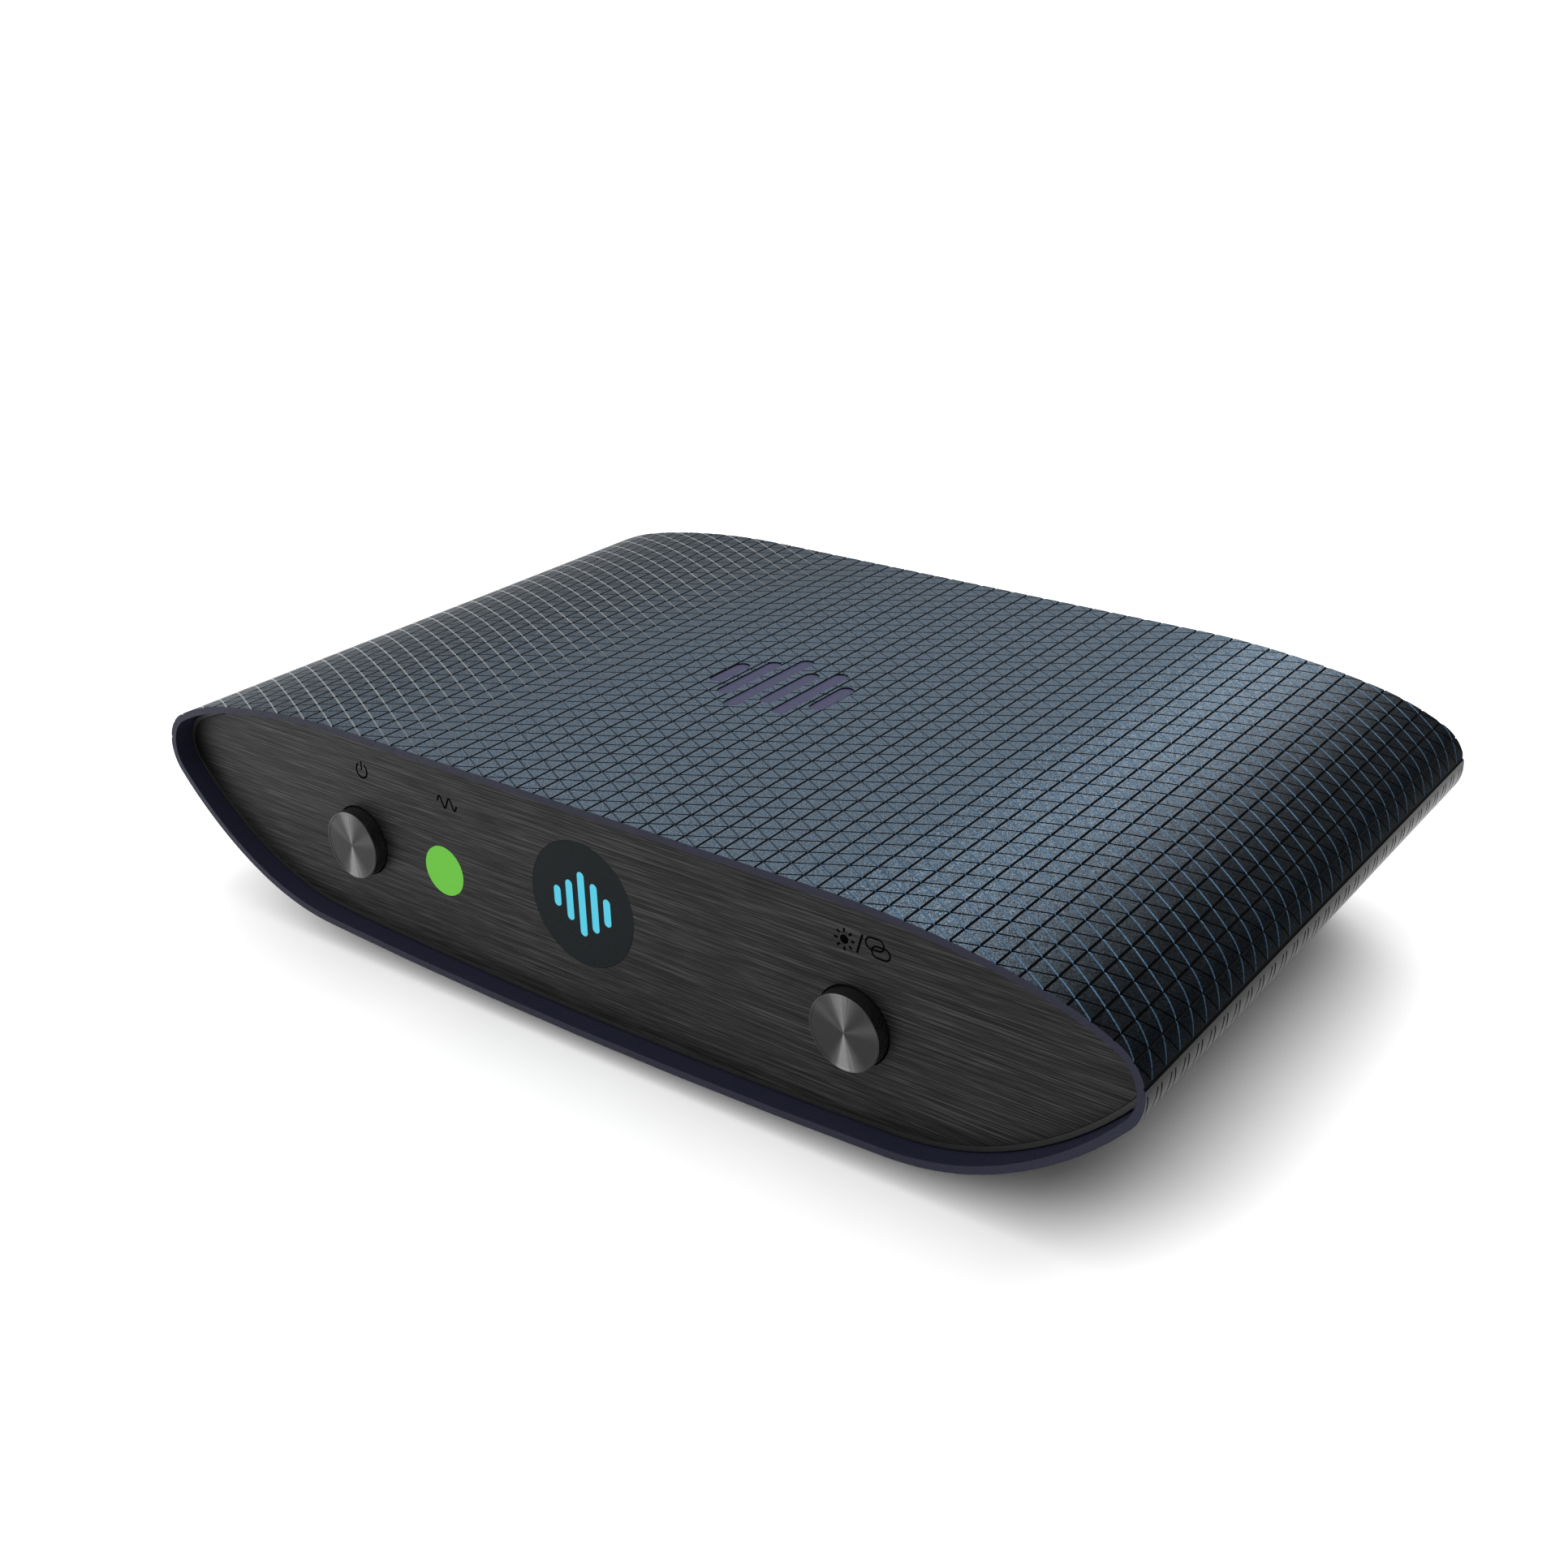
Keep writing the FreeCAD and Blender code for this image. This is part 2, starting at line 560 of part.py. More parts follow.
def ribbon():
    """The flat cable from the front board back and down to the main board, with its two sockets."""
    x, wide, thick, bend = "0", "14", "0.3", "3"
    socket_y = FRONT_BOARD_BACK
    top = f"({MIDDLE} + 1)"
    run_y = f"({socket_y} + 3)"
    drop_y = f"({run_y} + 1.5 + {bend})"
    keep(block("front_socket_case", "16", "3", "4", x, socket_y, top), "front_ribbon_socket")
    main_top = f"({BOARD_TOP} + 3)"
    main_socket = block("main_socket_case", "16", "4", "3", x, f"{drop_y} - 2", f"{BOARD_TOP} + 1.5")
    keep(main_socket, "main_ribbon_socket")
    flat = block("ribbon_flat", wide, "1.5", thick, x, run_y, top)
    turn_out = pin("ribbon_turn_out", f"{bend} + {thick} / 2", wide, x, f"{run_y} + 1.5", f"{top} - {bend}")
    turn_in = pin("ribbon_turn_in", f"{bend} - {thick} / 2", wide, x, f"{run_y} + 1.5", f"{top} - {bend}")
    quarter = block("ribbon_quarter", wide, "4", "4", x, f"{run_y} + 1.5", f"{top} - {bend} + 2")
    turn = common("ribbon_turn", cut("ribbon_ring", turn_out, turn_in), quarter)
    drop_high = f"({top} - {bend} - {main_top})"
    drop = block("ribbon_drop", wide, thick, drop_high, x, f"{drop_y} - {thick} / 2",
                 f"{main_top} + {drop_high} / 2")
    keep(fuse("ribbon", flat, turn, drop), "ribbon_cable")


# ---- inside -----------------------------------------------------------------------------------------------

def on_board(label, wide, deep, high, x, y):
    """A part that stands on the main board: x of its centre, y of its front face from the front rim."""
    case = block(f"{label}_case", wide, deep, high, x, f"{FRONT} + {y}", f"{BOARD_TOP} + ({high}) / 2")
    return keep(case, label)


def main_board():
    deep = f"({REAR_INNER} - 0.2 - {FRONT} - sizes.board_front)"
    keep(block("main_board_blank", "sizes.board_wide", deep, "sizes.board_thick", "0",
               f"{FRONT} + sizes.board_front", f"{BOARD_TOP} - sizes.board_thick / 2"), "main_board")


def board_parts():
    """The larger parts on the main board."""
    on_board("audio_converter_chip", "9", "9", "1.2", "-30", "55")
    on_board("input_processor_chip", "12", "12", "1.2", "22", "48")
    on_board("power_inductor", "8", "8", "4", "44", "50")
    on_board("wireless_module", "15", "19", "1", "49", "24")
    can = block("wireless_can", "13", "13", "2.2", "49", f"{FRONT} + 25", f"{BOARD_TOP} + 2.1")
    keep(can, "wireless_shield")
    cans = []
    for row_y in (34, 45):
        for column in range(3):
            cans.append(post(f"capacitor_{row_y}_{column}", "4", "12", f"{-52 + column * 10}",
                             f"{FRONT} + {row_y}", BOARD_TOP))
    keep(group("capacitor_set", *cans), "filter_capacitors")
    clocks = [block(f"clock_{side}", "5", "3.2", "1.3", x, f"{FRONT} + 56", f"{BOARD_TOP} + 0.65")
              for side, x in (("low", "-16"), ("high", "-9"))]
    keep(group("clock_set", *clocks), "clock_crystals")


# ---- rear -------------------------------------------------------------------------------------------------

def rear_plate():
    inset = size("wall") + size("plate_gap")
    thick = "sizes.rear_thick"
    blank = section_body("rear_blank", inset, thick, REAR_INNER)
    round_holes = [(name, "sizes.shell_radius + 0.1") for name in ("left", "right", "coax")]
    round_holes += [("balanced", "sizes.neck_radius + 0.1"), ("power", "sizes.neck_radius + 0.1")]
    holes = [rod(f"rear_hole_{name}", radius, thick, f"sizes.{name}_x", REAR_INNER, JACK_Z)
             for name, radius in round_holes]
    holes += [rod(f"rear_hole_{port}", "sizes.shank_radius + 0.15", thick, x, REAR_INNER, z)
              for port, x, z in ports()]
    holes.append(rod("rear_hole_antenna", "sizes.antenna_neck + 0.1", thick, "sizes.antenna_x",
                     REAR_INNER, ANTENNA_Z))
    square_holes = (
        ("data", "sizes.data_wide + 0.2", "sizes.data_high + 0.2"),
        ("optical", "sizes.optical_neck + 0.2", "sizes.optical_neck + 0.2"),
        ("selector", "sizes.knob_wide + sizes.knob_travel + 0.6", "sizes.knob_high + 0.4"),
    )
    holes += [block(f"rear_hole_{name}", wide, thick, high, f"sizes.{name}_x", REAR_INNER, JACK_Z)
              for name, wide, high in square_holes]
    return keep(cut("rear_cut", blank, *holes), "rear_plate")


def rear_screws():
    made = [screw(f"rear_screw_{port}", x, f"{REAR_FACE} + sizes.head_thick", z, "6", forwards=True)
            for port, x, z in ports()]
    return keep(group("rear_screw_set", *made), "rear_screws")


def phono_socket(label, x):
    """A phono socket: housing behind the plate, outer tube, ring of insulation and centre contact."""
    sunk = "2"
    whole_tube = f"({sunk} + sizes.rear_thick + sizes.tube_long)"
    tube_y = f"({REAR_INNER} - {sunk})"
    inner = "(sizes.shell_radius - sizes.tube_wall)"
    root = "(sizes.shell_radius - 0.3)"
    housing = block(f"{label}_block", "sizes.housing_wide", "sizes.housing_deep", "sizes.jack_rise * 2",
                    x, f"{REAR_INNER} - sizes.housing_deep", JACK_Z)
    seat = rod(f"{label}_seat", root, sunk, x, tube_y, JACK_Z)
    keep(cut(f"{label}_block_cut", housing, seat), f"{label}_housing")
    tube = fuse(f"{label}_tube",
                rod(f"{label}_tube_root", root, whole_tube, x, tube_y, JACK_Z),
                rod(f"{label}_tube_end", "sizes.shell_radius", "sizes.tube_long", x, REAR_FACE, JACK_Z))
    keep(cut(f"{label}_tube_cut", tube, rod(f"{label}_tube_bore", inner, whole_tube, x, tube_y, JACK_Z)),
         f"{label}_shell")
    ring_long = f"({whole_tube} - 0.8)"
    ring = rod(f"{label}_ring", inner, ring_long, x, tube_y, JACK_Z)
    ring_bore = rod(f"{label}_ring_bore", "sizes.contact_radius", ring_long, x, tube_y, JACK_Z)
    keep(cut(f"{label}_ring_cut", ring, ring_bore), f"{label}_insulator")
    contact_long = f"({ring_long} - 0.4)"
    contact = rod(f"{label}_contact", "sizes.contact_radius", contact_long, x, tube_y, JACK_Z)
    contact_bore = rod(f"{label}_contact_bore", "sizes.contact_bore", f"{contact_long} - 1",
                       x, f"{tube_y} + 1", JACK_Z)
    return cut(f"{label}_contact_cut", contact, contact_bore)


def phono_sockets():
    contacts = [phono_socket(f"{name}_{kind}", f"sizes.{name}_x")
                for name, kind in (("left", "output"), ("right", "output"), ("coax", "input"))]
    keep(group("contact_set", *contacts), "phono_contacts")


def balanced_socket():
    """The balanced output: a moulded body whose threaded neck takes a nut outside the plate."""
    x = "sizes.balanced_x"
    case_deep = "20"
    nut_face = f"({REAR_FACE} + sizes.nut_thick)"
    case = block("balanced_block", "10.6", case_deep, "sizes.jack_rise * 2", x,
                 f"{REAR_INNER} - {case_deep}", JACK_Z)
    neck = rod("balanced_neck", "sizes.neck_radius", f"{nut_face} - {REAR_INNER}", x, REAR_INNER, JACK_Z)
    bore = rod("balanced_bore", "sizes.headset_bore", "sizes.headset_deep", x,
               f"{nut_face} - sizes.headset_deep", JACK_Z)
    keep(cut("balanced_cut", fuse("balanced_body", case, neck), bore), "balanced_output_body")
    nut = rod("balanced_nut_disc", "sizes.nut_radius", "sizes.nut_thick", x, REAR_FACE, JACK_Z)
    nut_bore = rod("balanced_nut_bore", "sizes.neck_radius", "sizes.nut_thick", x, REAR_FACE, JACK_Z)
    keep(cut("balanced_nut_cut", nut, nut_bore), "balanced_output_nut")


def power_inlet():
    x = "sizes.power_x"
    case_deep = "12"
    mouth = f"({REAR_FACE} + 0.2)"
    root = f"{mouth} - sizes.barrel_deep"
    case = block("inlet_block", "9", case_deep, "sizes.jack_rise * 2", x,
                 f"{REAR_INNER} - {case_deep}", JACK_Z)
    neck = rod("inlet_neck", "sizes.neck_radius", f"{mouth} - {REAR_INNER}", x, REAR_INNER, JACK_Z)
    bore = rod("inlet_bore", "sizes.barrel_bore", "sizes.barrel_deep", x, root, JACK_Z)
    keep(cut("inlet_cut", fuse("inlet_body", case, neck), bore), "power_inlet_body")
    contact = rod("inlet_pin_rod", "sizes.barrel_pin", "sizes.barrel_deep - 0.8", x, root, JACK_Z)
    keep(contact, "power_inlet_pin")


def data_socket():
    """The square computer socket: a metal box with a tongue."""
    x = "sizes.data_x"
    deep = "16"
    mouth = f"({REAR_FACE} + 0.4)"
    start = f"({mouth} - {deep})"
    floor = "2"
    box = block("data_box", "sizes.data_wide", deep, "sizes.data_high", x, start, JACK_Z)
    hollow = block("data_hollow", "8.6", f"{deep} - {floor}", "8", x, f"{start} + {floor}", JACK_Z)
    keep(cut("data_cut", box, hollow), "data_socket_shell")
    tongue = block("data_tongue_bar", "5.4", f"{deep} - {floor} - 1.2", "3", x, f"{start} + {floor}", JACK_Z)
    keep(tongue, "data_socket_tongue")


def optical_socket():
    """The optical input: a moulded block with a square mouth behind a hinged shutter."""
    x = "sizes.optical_x"
    deep = "14"
    mouth = f"({REAR_FACE} + 0.2)"
    start = f"({mouth} - {deep})"
    floor = "2.5"
    case = block("optical_block", "9.8", f"{REAR_INNER} - {start}", "sizes.jack_rise * 2", x, start, JACK_Z)
    neck = block("optical_neck_block", "sizes.optical_neck", f"{mouth} - {REAR_INNER}", "sizes.optical_neck",
                 x, REAR_INNER, JACK_Z)
    well = block("optical_well", "sizes.shutter_wide + 0.5", f"{deep} - {floor}",
                 "sizes.shutter_wide + 1.1", x, f"{start} + {floor}", f"{JACK_Z} + 0.15")
    pin_z = f"({JACK_Z} + sizes.shutter_wide / 2 - 0.3)"
    hinge_back = "2.4"
    pin_y = f"({mouth} - {hinge_back})"
    pin_bore = pin("optical_pin_bore", "0.55", "8.2", x, pin_y, pin_z)
    keep(cut("optical_cut", fuse("optical_whole", case, neck), well, pin_bore), "optical_input_body")
    flap_high = "sizes.shutter_wide"
    flap = block("shutter_flap", "sizes.shutter_wide", "sizes.shutter_thick", flap_high, x,
                 f"{pin_y} - sizes.shutter_thick / 2", f"{pin_z} - {flap_high} / 2 + 0.4")
    keep(fuse("shutter", flap, pin("shutter_pin", "0.5", "8", x, pin_y, pin_z)), "optical_input_shutter")


def selector():
    """The slide switch: a case with a window behind the plate's slot, and its knob."""
    x = "sizes.selector_x"
    case_deep = "4"
    tongue = "1.4"
    case = block("selector_block", "8.6", case_deep, "6", x, f"{REAR_INNER} - {case_deep}", JACK_Z)
    track = block("selector_track", "sizes.knob_wide + sizes.knob_travel + 1.6", "3", "3", x,
                  f"{REAR_INNER} - 3", JACK_Z)
    keep(cut("selector_case_cut", case, track), "selector_case")
    rest = f"({x} - sizes.knob_travel / 2)"
    blade = block("selector_blade", "sizes.knob_wide", f"sizes.rear_thick + {tongue} + 1", "sizes.knob_high",
                  rest, f"{REAR_INNER} - 1", JACK_Z)
    base = block("selector_base", "sizes.knob_wide + 1", "2.4", "2.8", rest, f"{REAR_INNER} - 2.6", JACK_Z)
    keep(fuse("selector_knob_whole", blade, base), "selector_knob")


def antenna():
    """A base screwed to the plate, a knuckle that turns on it, and a blade pinned to the knuckle."""
    x, z = "sizes.antenna_x", ANTENNA_Z
    base_end = f"({REAR_FACE} + 3)"
    neck_long = "4"
    nut_thick = "1.8"
    neck = rod("antenna_neck_rod", "sizes.antenna_neck", f"sizes.rear_thick + {neck_long}", x,
               f"{REAR_INNER} - {neck_long}", z)
    flange = rod("antenna_flange", "sizes.base_radius", f"{base_end} - {REAR_FACE}", x, REAR_FACE, z)
    spigot = rod("antenna_spigot_bore", "sizes.spigot_radius + 0.05", "2.5", x, f"{base_end} - 2.5", z)
    keep(cut("antenna_base_cut", fuse("antenna_base_whole", neck, flange), spigot), "antenna_base")
    nut_y = f"{REAR_INNER} - {nut_thick}"
    nut = cut("antenna_nut_cut", rod("antenna_nut_disc", "4", nut_thick, x, nut_y, z),
              rod("antenna_nut_bore", "sizes.antenna_neck", nut_thick, x, nut_y, z))
    keep(nut, "antenna_nut")
    stem = rod("knuckle_spigot", "sizes.spigot_radius", "2.3", x, f"{base_end} - 2.2", z)
    collar_y = f"({base_end} + 0.1)"
    collar = rod("knuckle_collar", "sizes.knuckle_radius", f"{KNUCKLE_Y} - {collar_y}", x, collar_y, z)
    eye = post("knuckle_eye", "sizes.knuckle_radius", "2", x, KNUCKLE_Y, f"{z} - 1")
    trims = [block(f"knuckle_trim_{side}", "8", "8", "4", x, f"{KNUCKLE_Y} - 2.3", f"{z} {way} 3")
             for side, way in (("upper", "+"), ("lower", "-"))]
    hole = post("knuckle_hole", "sizes.pin_radius", "6", x, KNUCKLE_Y, f"{z} - 3")
    keep(cut("knuckle_cut", fuse("knuckle_whole", stem, collar, eye), *trims, hole), "antenna_knuckle")
    blade(x, z)
    lead()


def blade(x, z):
    """The blade lies along -X at rest. Its fork straddles the knuckle's eye, and a pin goes through both."""
    half_gap = "1.15"
    fork_long = "6"
    arm_high = f"(sizes.blade_high / 2 - {half_gap})"
    face = f"{KNUCKLE_Y} - sizes.blade_thick / 2"
    arms = []
    for side, way in (("upper", "+"), ("lower", "-")):
        middle = f"{z} {way} ({half_gap} + {arm_high} / 2)"
        low = f"{middle} - {arm_high} / 2"
        arms.append(post(f"fork_eye_{side}", "sizes.blade_thick / 2", arm_high, x, KNUCKLE_Y, low))
        arms.append(block(f"fork_arm_{side}", fork_long, "sizes.blade_thick", arm_high,
                          f"{x} - {fork_long} / 2", face, middle))
    plate_long = f"(sizes.blade_long - {fork_long})"
    slab = block("blade_slab", plate_long, "sizes.blade_thick", "sizes.blade_high",
                 f"{x} - {fork_long} - {plate_long} / 2", face, z)
    bottom = f"{z} - sizes.blade_high / 2"
    bore = post("fork_bore", "sizes.pin_radius + 0.05", "sizes.blade_high", x, KNUCKLE_Y, bottom)
    keep(cut("blade_cut", fuse("blade_whole", slab, *arms), bore), "antenna_blade")
    keep(post("hinge_pin", "sizes.pin_radius", "sizes.blade_high", x, KNUCKLE_Y, bottom), "antenna_pin")


def lead():
    """The coaxial lead from the antenna's base forwards and down to the wireless module."""
    radius = 0.6
    bend = 4
    along = size("antenna_x")
    front = -size("over_deep") / 2
    middle = size("foot_high") + size("shell_high") / 2
    high = middle + size("antenna_z")
    start_y = front + size("shell_deep") - size("rear_recess") - size("rear_thick") - 4
    end_y = front + 40.5
    end_z = middle - size("board_drop") + 1
    eighth = bend * (1 - math.sqrt(0.5))
    start = FreeCAD.Vector(along, start_y, high)
    turn_start = FreeCAD.Vector(along, end_y + bend, high)
    turn_middle = FreeCAD.Vector(along, end_y + eighth, high - eighth)
    turn_end = FreeCAD.Vector(along, end_y, high - bend)
    end = FreeCAD.Vector(along, end_y, end_z)
    runs = (
        Part.LineSegment(start, turn_start),
        Part.Arc(turn_start, turn_middle, turn_end),
        Part.LineSegment(turn_end, end),
    )
    path = Part.Wire([run.toShape() for run in runs])
    ring = Part.Wire([Part.Circle(start, FreeCAD.Vector(0, 1, 0), radius).toShape()])
    made = doc.addObject("Part::Feature", "lead")
    made.Shape = path.makePipeShell([ring], True, False)
    assert abs(made.Shape.Volume / (math.pi * radius ** 2 * path.Length) - 1) < 0.02
    return keep(made, "antenna_lead")


# ---- build, check and write -------------------------------------------------------------------------------

sleeve()
top_inlay()
feet()
front_plate()
front_carrier()
front_screws()
window()
glyph()
diffuser()
display_leds()
lamp()
status_led()
button("power", "-")
button("pair", "")
front_board()
ribbon()
main_board()
board_parts()
rear_plate()
rear_screws()
phono_sockets()
balanced_socket()
power_inlet()
data_socket()
optical_socket()
selector()
antenna()
doc.recompute()

for thing in doc.Objects:
    if "Invalid" in thing.State or "Error" in thing.State:
        raise RuntimeError(f"{thing.Name} failed: {thing.State}")
os.makedirs("parts", exist_ok=True)
for piece in pieces:
    if piece.Shape.isNull() or not piece.Shape.isValid():
        raise RuntimeError(f"{piece.Label} has no sound shape")
    piece.Shape.exportStep(os.path.join("parts", f"{piece.Label}.step"))
    print(piece.Label, len(piece.Shape.Solids), round(piece.Shape.Volume, 1))
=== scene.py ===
import math

import bmesh
import bpy
from bpy.props import FloatProperty, FloatVectorProperty, IntProperty, PointerProperty
from mathutils import Matrix, Vector


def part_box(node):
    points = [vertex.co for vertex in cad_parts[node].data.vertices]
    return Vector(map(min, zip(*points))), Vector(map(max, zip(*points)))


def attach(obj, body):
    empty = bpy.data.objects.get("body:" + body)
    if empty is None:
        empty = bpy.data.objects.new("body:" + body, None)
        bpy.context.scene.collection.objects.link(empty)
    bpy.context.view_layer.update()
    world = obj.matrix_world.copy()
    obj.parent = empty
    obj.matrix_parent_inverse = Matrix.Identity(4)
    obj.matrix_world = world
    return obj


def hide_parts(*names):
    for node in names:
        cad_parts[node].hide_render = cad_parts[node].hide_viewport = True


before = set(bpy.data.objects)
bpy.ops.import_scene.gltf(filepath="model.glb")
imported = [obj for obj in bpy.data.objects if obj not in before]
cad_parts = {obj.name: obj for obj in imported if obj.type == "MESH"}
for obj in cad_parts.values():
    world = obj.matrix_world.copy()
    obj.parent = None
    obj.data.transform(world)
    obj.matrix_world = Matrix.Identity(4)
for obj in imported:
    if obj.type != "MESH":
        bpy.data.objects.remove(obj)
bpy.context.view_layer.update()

bl_info = {
    "name": "Desktop Converter",
    "version": (1, 0, 0),
    "blender": (4, 5, 0),
    "location": "View3D > Sidebar > Converter",
    "description": "Builds the sleeve, front, rear and studio of a desktop audio converter",
    "category": "Object",
}

MM = 0.001
LOW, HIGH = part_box("sleeve")
PLATE_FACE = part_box("front_plate")[0].y
MIDDLE_Z = (LOW.z + HIGH.z) / 2


# ---- sizes and colours that a user would change -----------------------------------------------------------

def length(name, value, description):
    return FloatProperty(name=name, description=description, default=value, unit="LENGTH", precision=5)


def angle(name, degrees, description):
    return FloatProperty(name=name, description=description, default=math.radians(degrees),
                         unit="ROTATION")


def colour(name, value, description):
    return FloatVectorProperty(name=name, description=description, default=value, size=3,
                               subtype="COLOR", min=0, max=1)


class ConverterSleeveSizes(bpy.types.PropertyGroup):
    """Sizes of the sleeve and of the lattice cut into it."""
    wall: length("Wall", 0.001, "Thickness of the sleeve's wall")
    flat_half: length("Flat half", 0.039, "Half of the flat stretch of the top")
    shoulder_radius: length("Shoulder", 0.037, "Radius between the crown and the corner")
    corner_radius: length("Corner", 0.006, "Radius round the widest line")
    hip_radius: length("Hip", 0.038, "Radius between the lower side and the bottom")
    crown_turn: angle("Crown end", 78.1, "Direction of the normal where the crown ends")
    shoulder_turn: angle("Shoulder end", 62.3, "Direction of the normal where the shoulder ends")
    corner_turn: angle("Corner end", -41.7, "Direction of the normal where the corner ends")
    side_turn: angle("Side end", -64.6, "Direction of the normal where the lower side ends")
    hip_turn: angle("Hip end", -87.15, "Direction of the normal where the hip ends")
    line_step: length("Line step", 0.002873, "Distance between grooves that run front to back")
    cross_step: length("Cross step", 0.00306, "Distance between crossings along one groove")
    line_count: IntProperty(name="Lines", description="Grooves on each side of the middle", default=29)
    groove_half: length("Groove half", 0.00017, "Half the width of a groove that runs front to back")
    groove_deep: length("Groove depth", 0.00015, "Depth of a groove")
    slot_long: length("Slot length", 0.0032, "Length of the short slots below the lattice")


class ConverterColours(bpy.types.PropertyGroup):
    """Colours of the main finishes."""
    skin: colour("Skin", (0.039, 0.056, 0.075), "Flake lacquer of the sleeve")
    rim: colour("Rim", (0.0105, 0.0115, 0.024), "Anodised cut edge of the sleeve")
    plate: colour("Plate", (0.0105, 0.0105, 0.0105), "Brushed front plate")
    lamp: colour("Lamp", (0.150, 0.527, 0.061), "Lit status lamp")
    mark: colour("Mark", (0.102, 0.610, 0.790), "Lit mark in the window")
    inlay: colour("Inlay", (0.028, 0.029, 0.066), "Mark let into the top")


# ---- the sleeve's section ---------------------------------------------------------------------------------

class Section:
    """The right half of the sleeve's outline, measured by arc length from the middle of the top.

    A flat stretch is followed by tangent arcs: crown, shoulder, corner, side, hip and bottom. The crown's
    and the side's radii are worked out so that the outline has the width and height of the sleeve.
    """

    def __init__(self, sizes):
        half_wide = (HIGH.x - LOW.x) / 2
        half_high = (HIGH.z - LOW.z) / 2
        crown, shoulder, corner = sizes.crown_turn, sizes.shoulder_turn, sizes.corner_turn
        side, hip = sizes.side_turn, sizes.hip_turn
        quarter = math.pi / 2

        def run_x(start, end):
            return math.cos(end) - math.cos(start)

        def run_z(start, end):
            return math.sin(end) - math.sin(start)

        across = half_wide - sizes.flat_half - sizes.shoulder_radius * run_x(crown, shoulder)
        crown_radius = (across - sizes.corner_radius * run_x(shoulder, 0)) / run_x(quarter, crown)
        x = half_wide + sizes.corner_radius * run_x(0, corner)
        z = half_high + crown_radius * run_z(quarter, crown)
        z += sizes.shoulder_radius * run_z(crown, shoulder)
        z += sizes.corner_radius * run_z(shoulder, corner)
        sag = run_z(hip, -quarter) / math.cos(hip)
        missing = -half_high - z - sizes.hip_radius * run_z(side, hip)
        missing -= sag * (x + sizes.hip_radius * run_x(side, hip))
        side_radius = missing / (run_z(corner, side) + sag * run_x(corner, side))
        self.flat = sizes.flat_half
        self.top = MIDDLE_Z + half_high
        self.arcs = []
        x, z, along = self.flat, half_high, self.flat
        stretches = (
            (crown_radius, quarter, crown),
            (sizes.shoulder_radius, crown, shoulder),
            (sizes.corner_radius, shoulder, corner),
            (side_radius, corner, side),
            (sizes.hip_radius, side, hip),
        )
        for radius, start, end in stretches:
            centre_x = x - radius * math.cos(start)
            centre_z = z - radius * math.sin(start)
            self.arcs.append((along, centre_x, centre_z + MIDDLE_Z, radius, start))
            along += radius * (start - end)
            x = centre_x + radius * math.cos(end)
            z = centre_z + radius * math.sin(end)
        bottom = x / math.cos(hip)
        self.arcs.append((along, 0, z - bottom * math.sin(hip) + MIDDLE_Z, bottom, hip))
        self.whole = along + bottom * (hip + quarter)

    def point(self, along, inwards):
        """The place on the outline at an arc length, moved inwards."""
        sign = -1 if along < 0 else 1
        along = min(abs(along), self.whole)
        if along <= self.flat:
            return Vector((sign * along, 0, self.top - inwards))
        start_along, x, z, radius, start = [arc for arc in self.arcs if arc[0] <= along][-1]
        turn = start - (along - start_along) / radius
        reach = radius - inwards
        return Vector((sign * (x + reach * math.cos(turn)), 0, z + reach * math.sin(turn)))


# ---- modelling helpers ------------------------------------------------------------------------------------

def deselect():
    """Leaves edit mode and selects nothing."""
    if bpy.context.object is not None and bpy.context.object.mode != "OBJECT":
        bpy.ops.object.mode_set(mode="OBJECT")
    bpy.ops.object.select_all(action="DESELECT")


def named(name):
    """Names the object that an operator has just added."""
    made = bpy.context.object
    made.name = name
    made.data.name = name
    return made


def select_only(made):
    """Selects one object and makes it the active one."""
    deselect()
    made.select_set(True)
    bpy.context.view_layer.objects.active = made


def edit(made):
    """Opens an object's mesh with nothing selected."""
    select_only(made)
    bpy.ops.object.mode_set(mode="EDIT")
    bpy.ops.mesh.select_mode(type="VERT")
    bpy.ops.mesh.select_all(action="DESELECT")


def pick_faces(made, wanted):
    """Selects the faces whose centre passes a test."""
    bpy.ops.mesh.select_mode(type="FACE")
    mesh = bmesh.from_edit_mesh(made.data)
    for face in mesh.faces:
        face.select_set(wanted(face))
    mesh.select_flush_mode()
    bmesh.update_edit_mesh(made.data)
    return mesh


def pick_edges(made, wanted):
    """Selects the edges that pass a test."""
    bpy.ops.mesh.select_mode(type="EDGE")
    mesh = bmesh.from_edit_mesh(made.data)
    for face in mesh.faces:
        face.select_set(False)
    for edge in mesh.edges:
        edge.select_set(wanted(edge))
    bmesh.update_edit_mesh(made.data)


def bisect(point, normal):
    """Cuts the selected faces of the flat sheet along a line, and leaves only the cut selected."""
    bpy.ops.mesh.bisect(plane_co=point, plane_no=normal, threshold=0.0005, use_fill=False)


def cut_lines(lines):
    """Cuts the whole flat sheet along lines that run front to back, one after another."""
    for along in lines:
        bpy.ops.mesh.select_all(action="SELECT")
        bisect((along, 0, 0), (1, 0, 0))


def finish_piece(made, body, smooth=30):
    """Applies the object's modifiers and place, smooths it, and hangs it on its body."""
    select_only(made)
    for modifier in list(made.modifiers):
        bpy.ops.object.modifier_apply(modifier=modifier.name)
    bpy.ops.object.transform_apply(location=True, rotation=True, scale=True)
    bpy.ops.object.shade_smooth_by_angle(angle=math.radians(smooth))
    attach(made, body)
    return made


def bevel(made, width, segments=3, degrees=30):
    """Adds a bevel to the object's sharp edges."""
    rounding = made.modifiers.new("rounding", "BEVEL")
    rounding.width = width
    rounding.segments = segments
    rounding.limit_method = "ANGLE"
    rounding.angle_limit = math.radians(degrees)


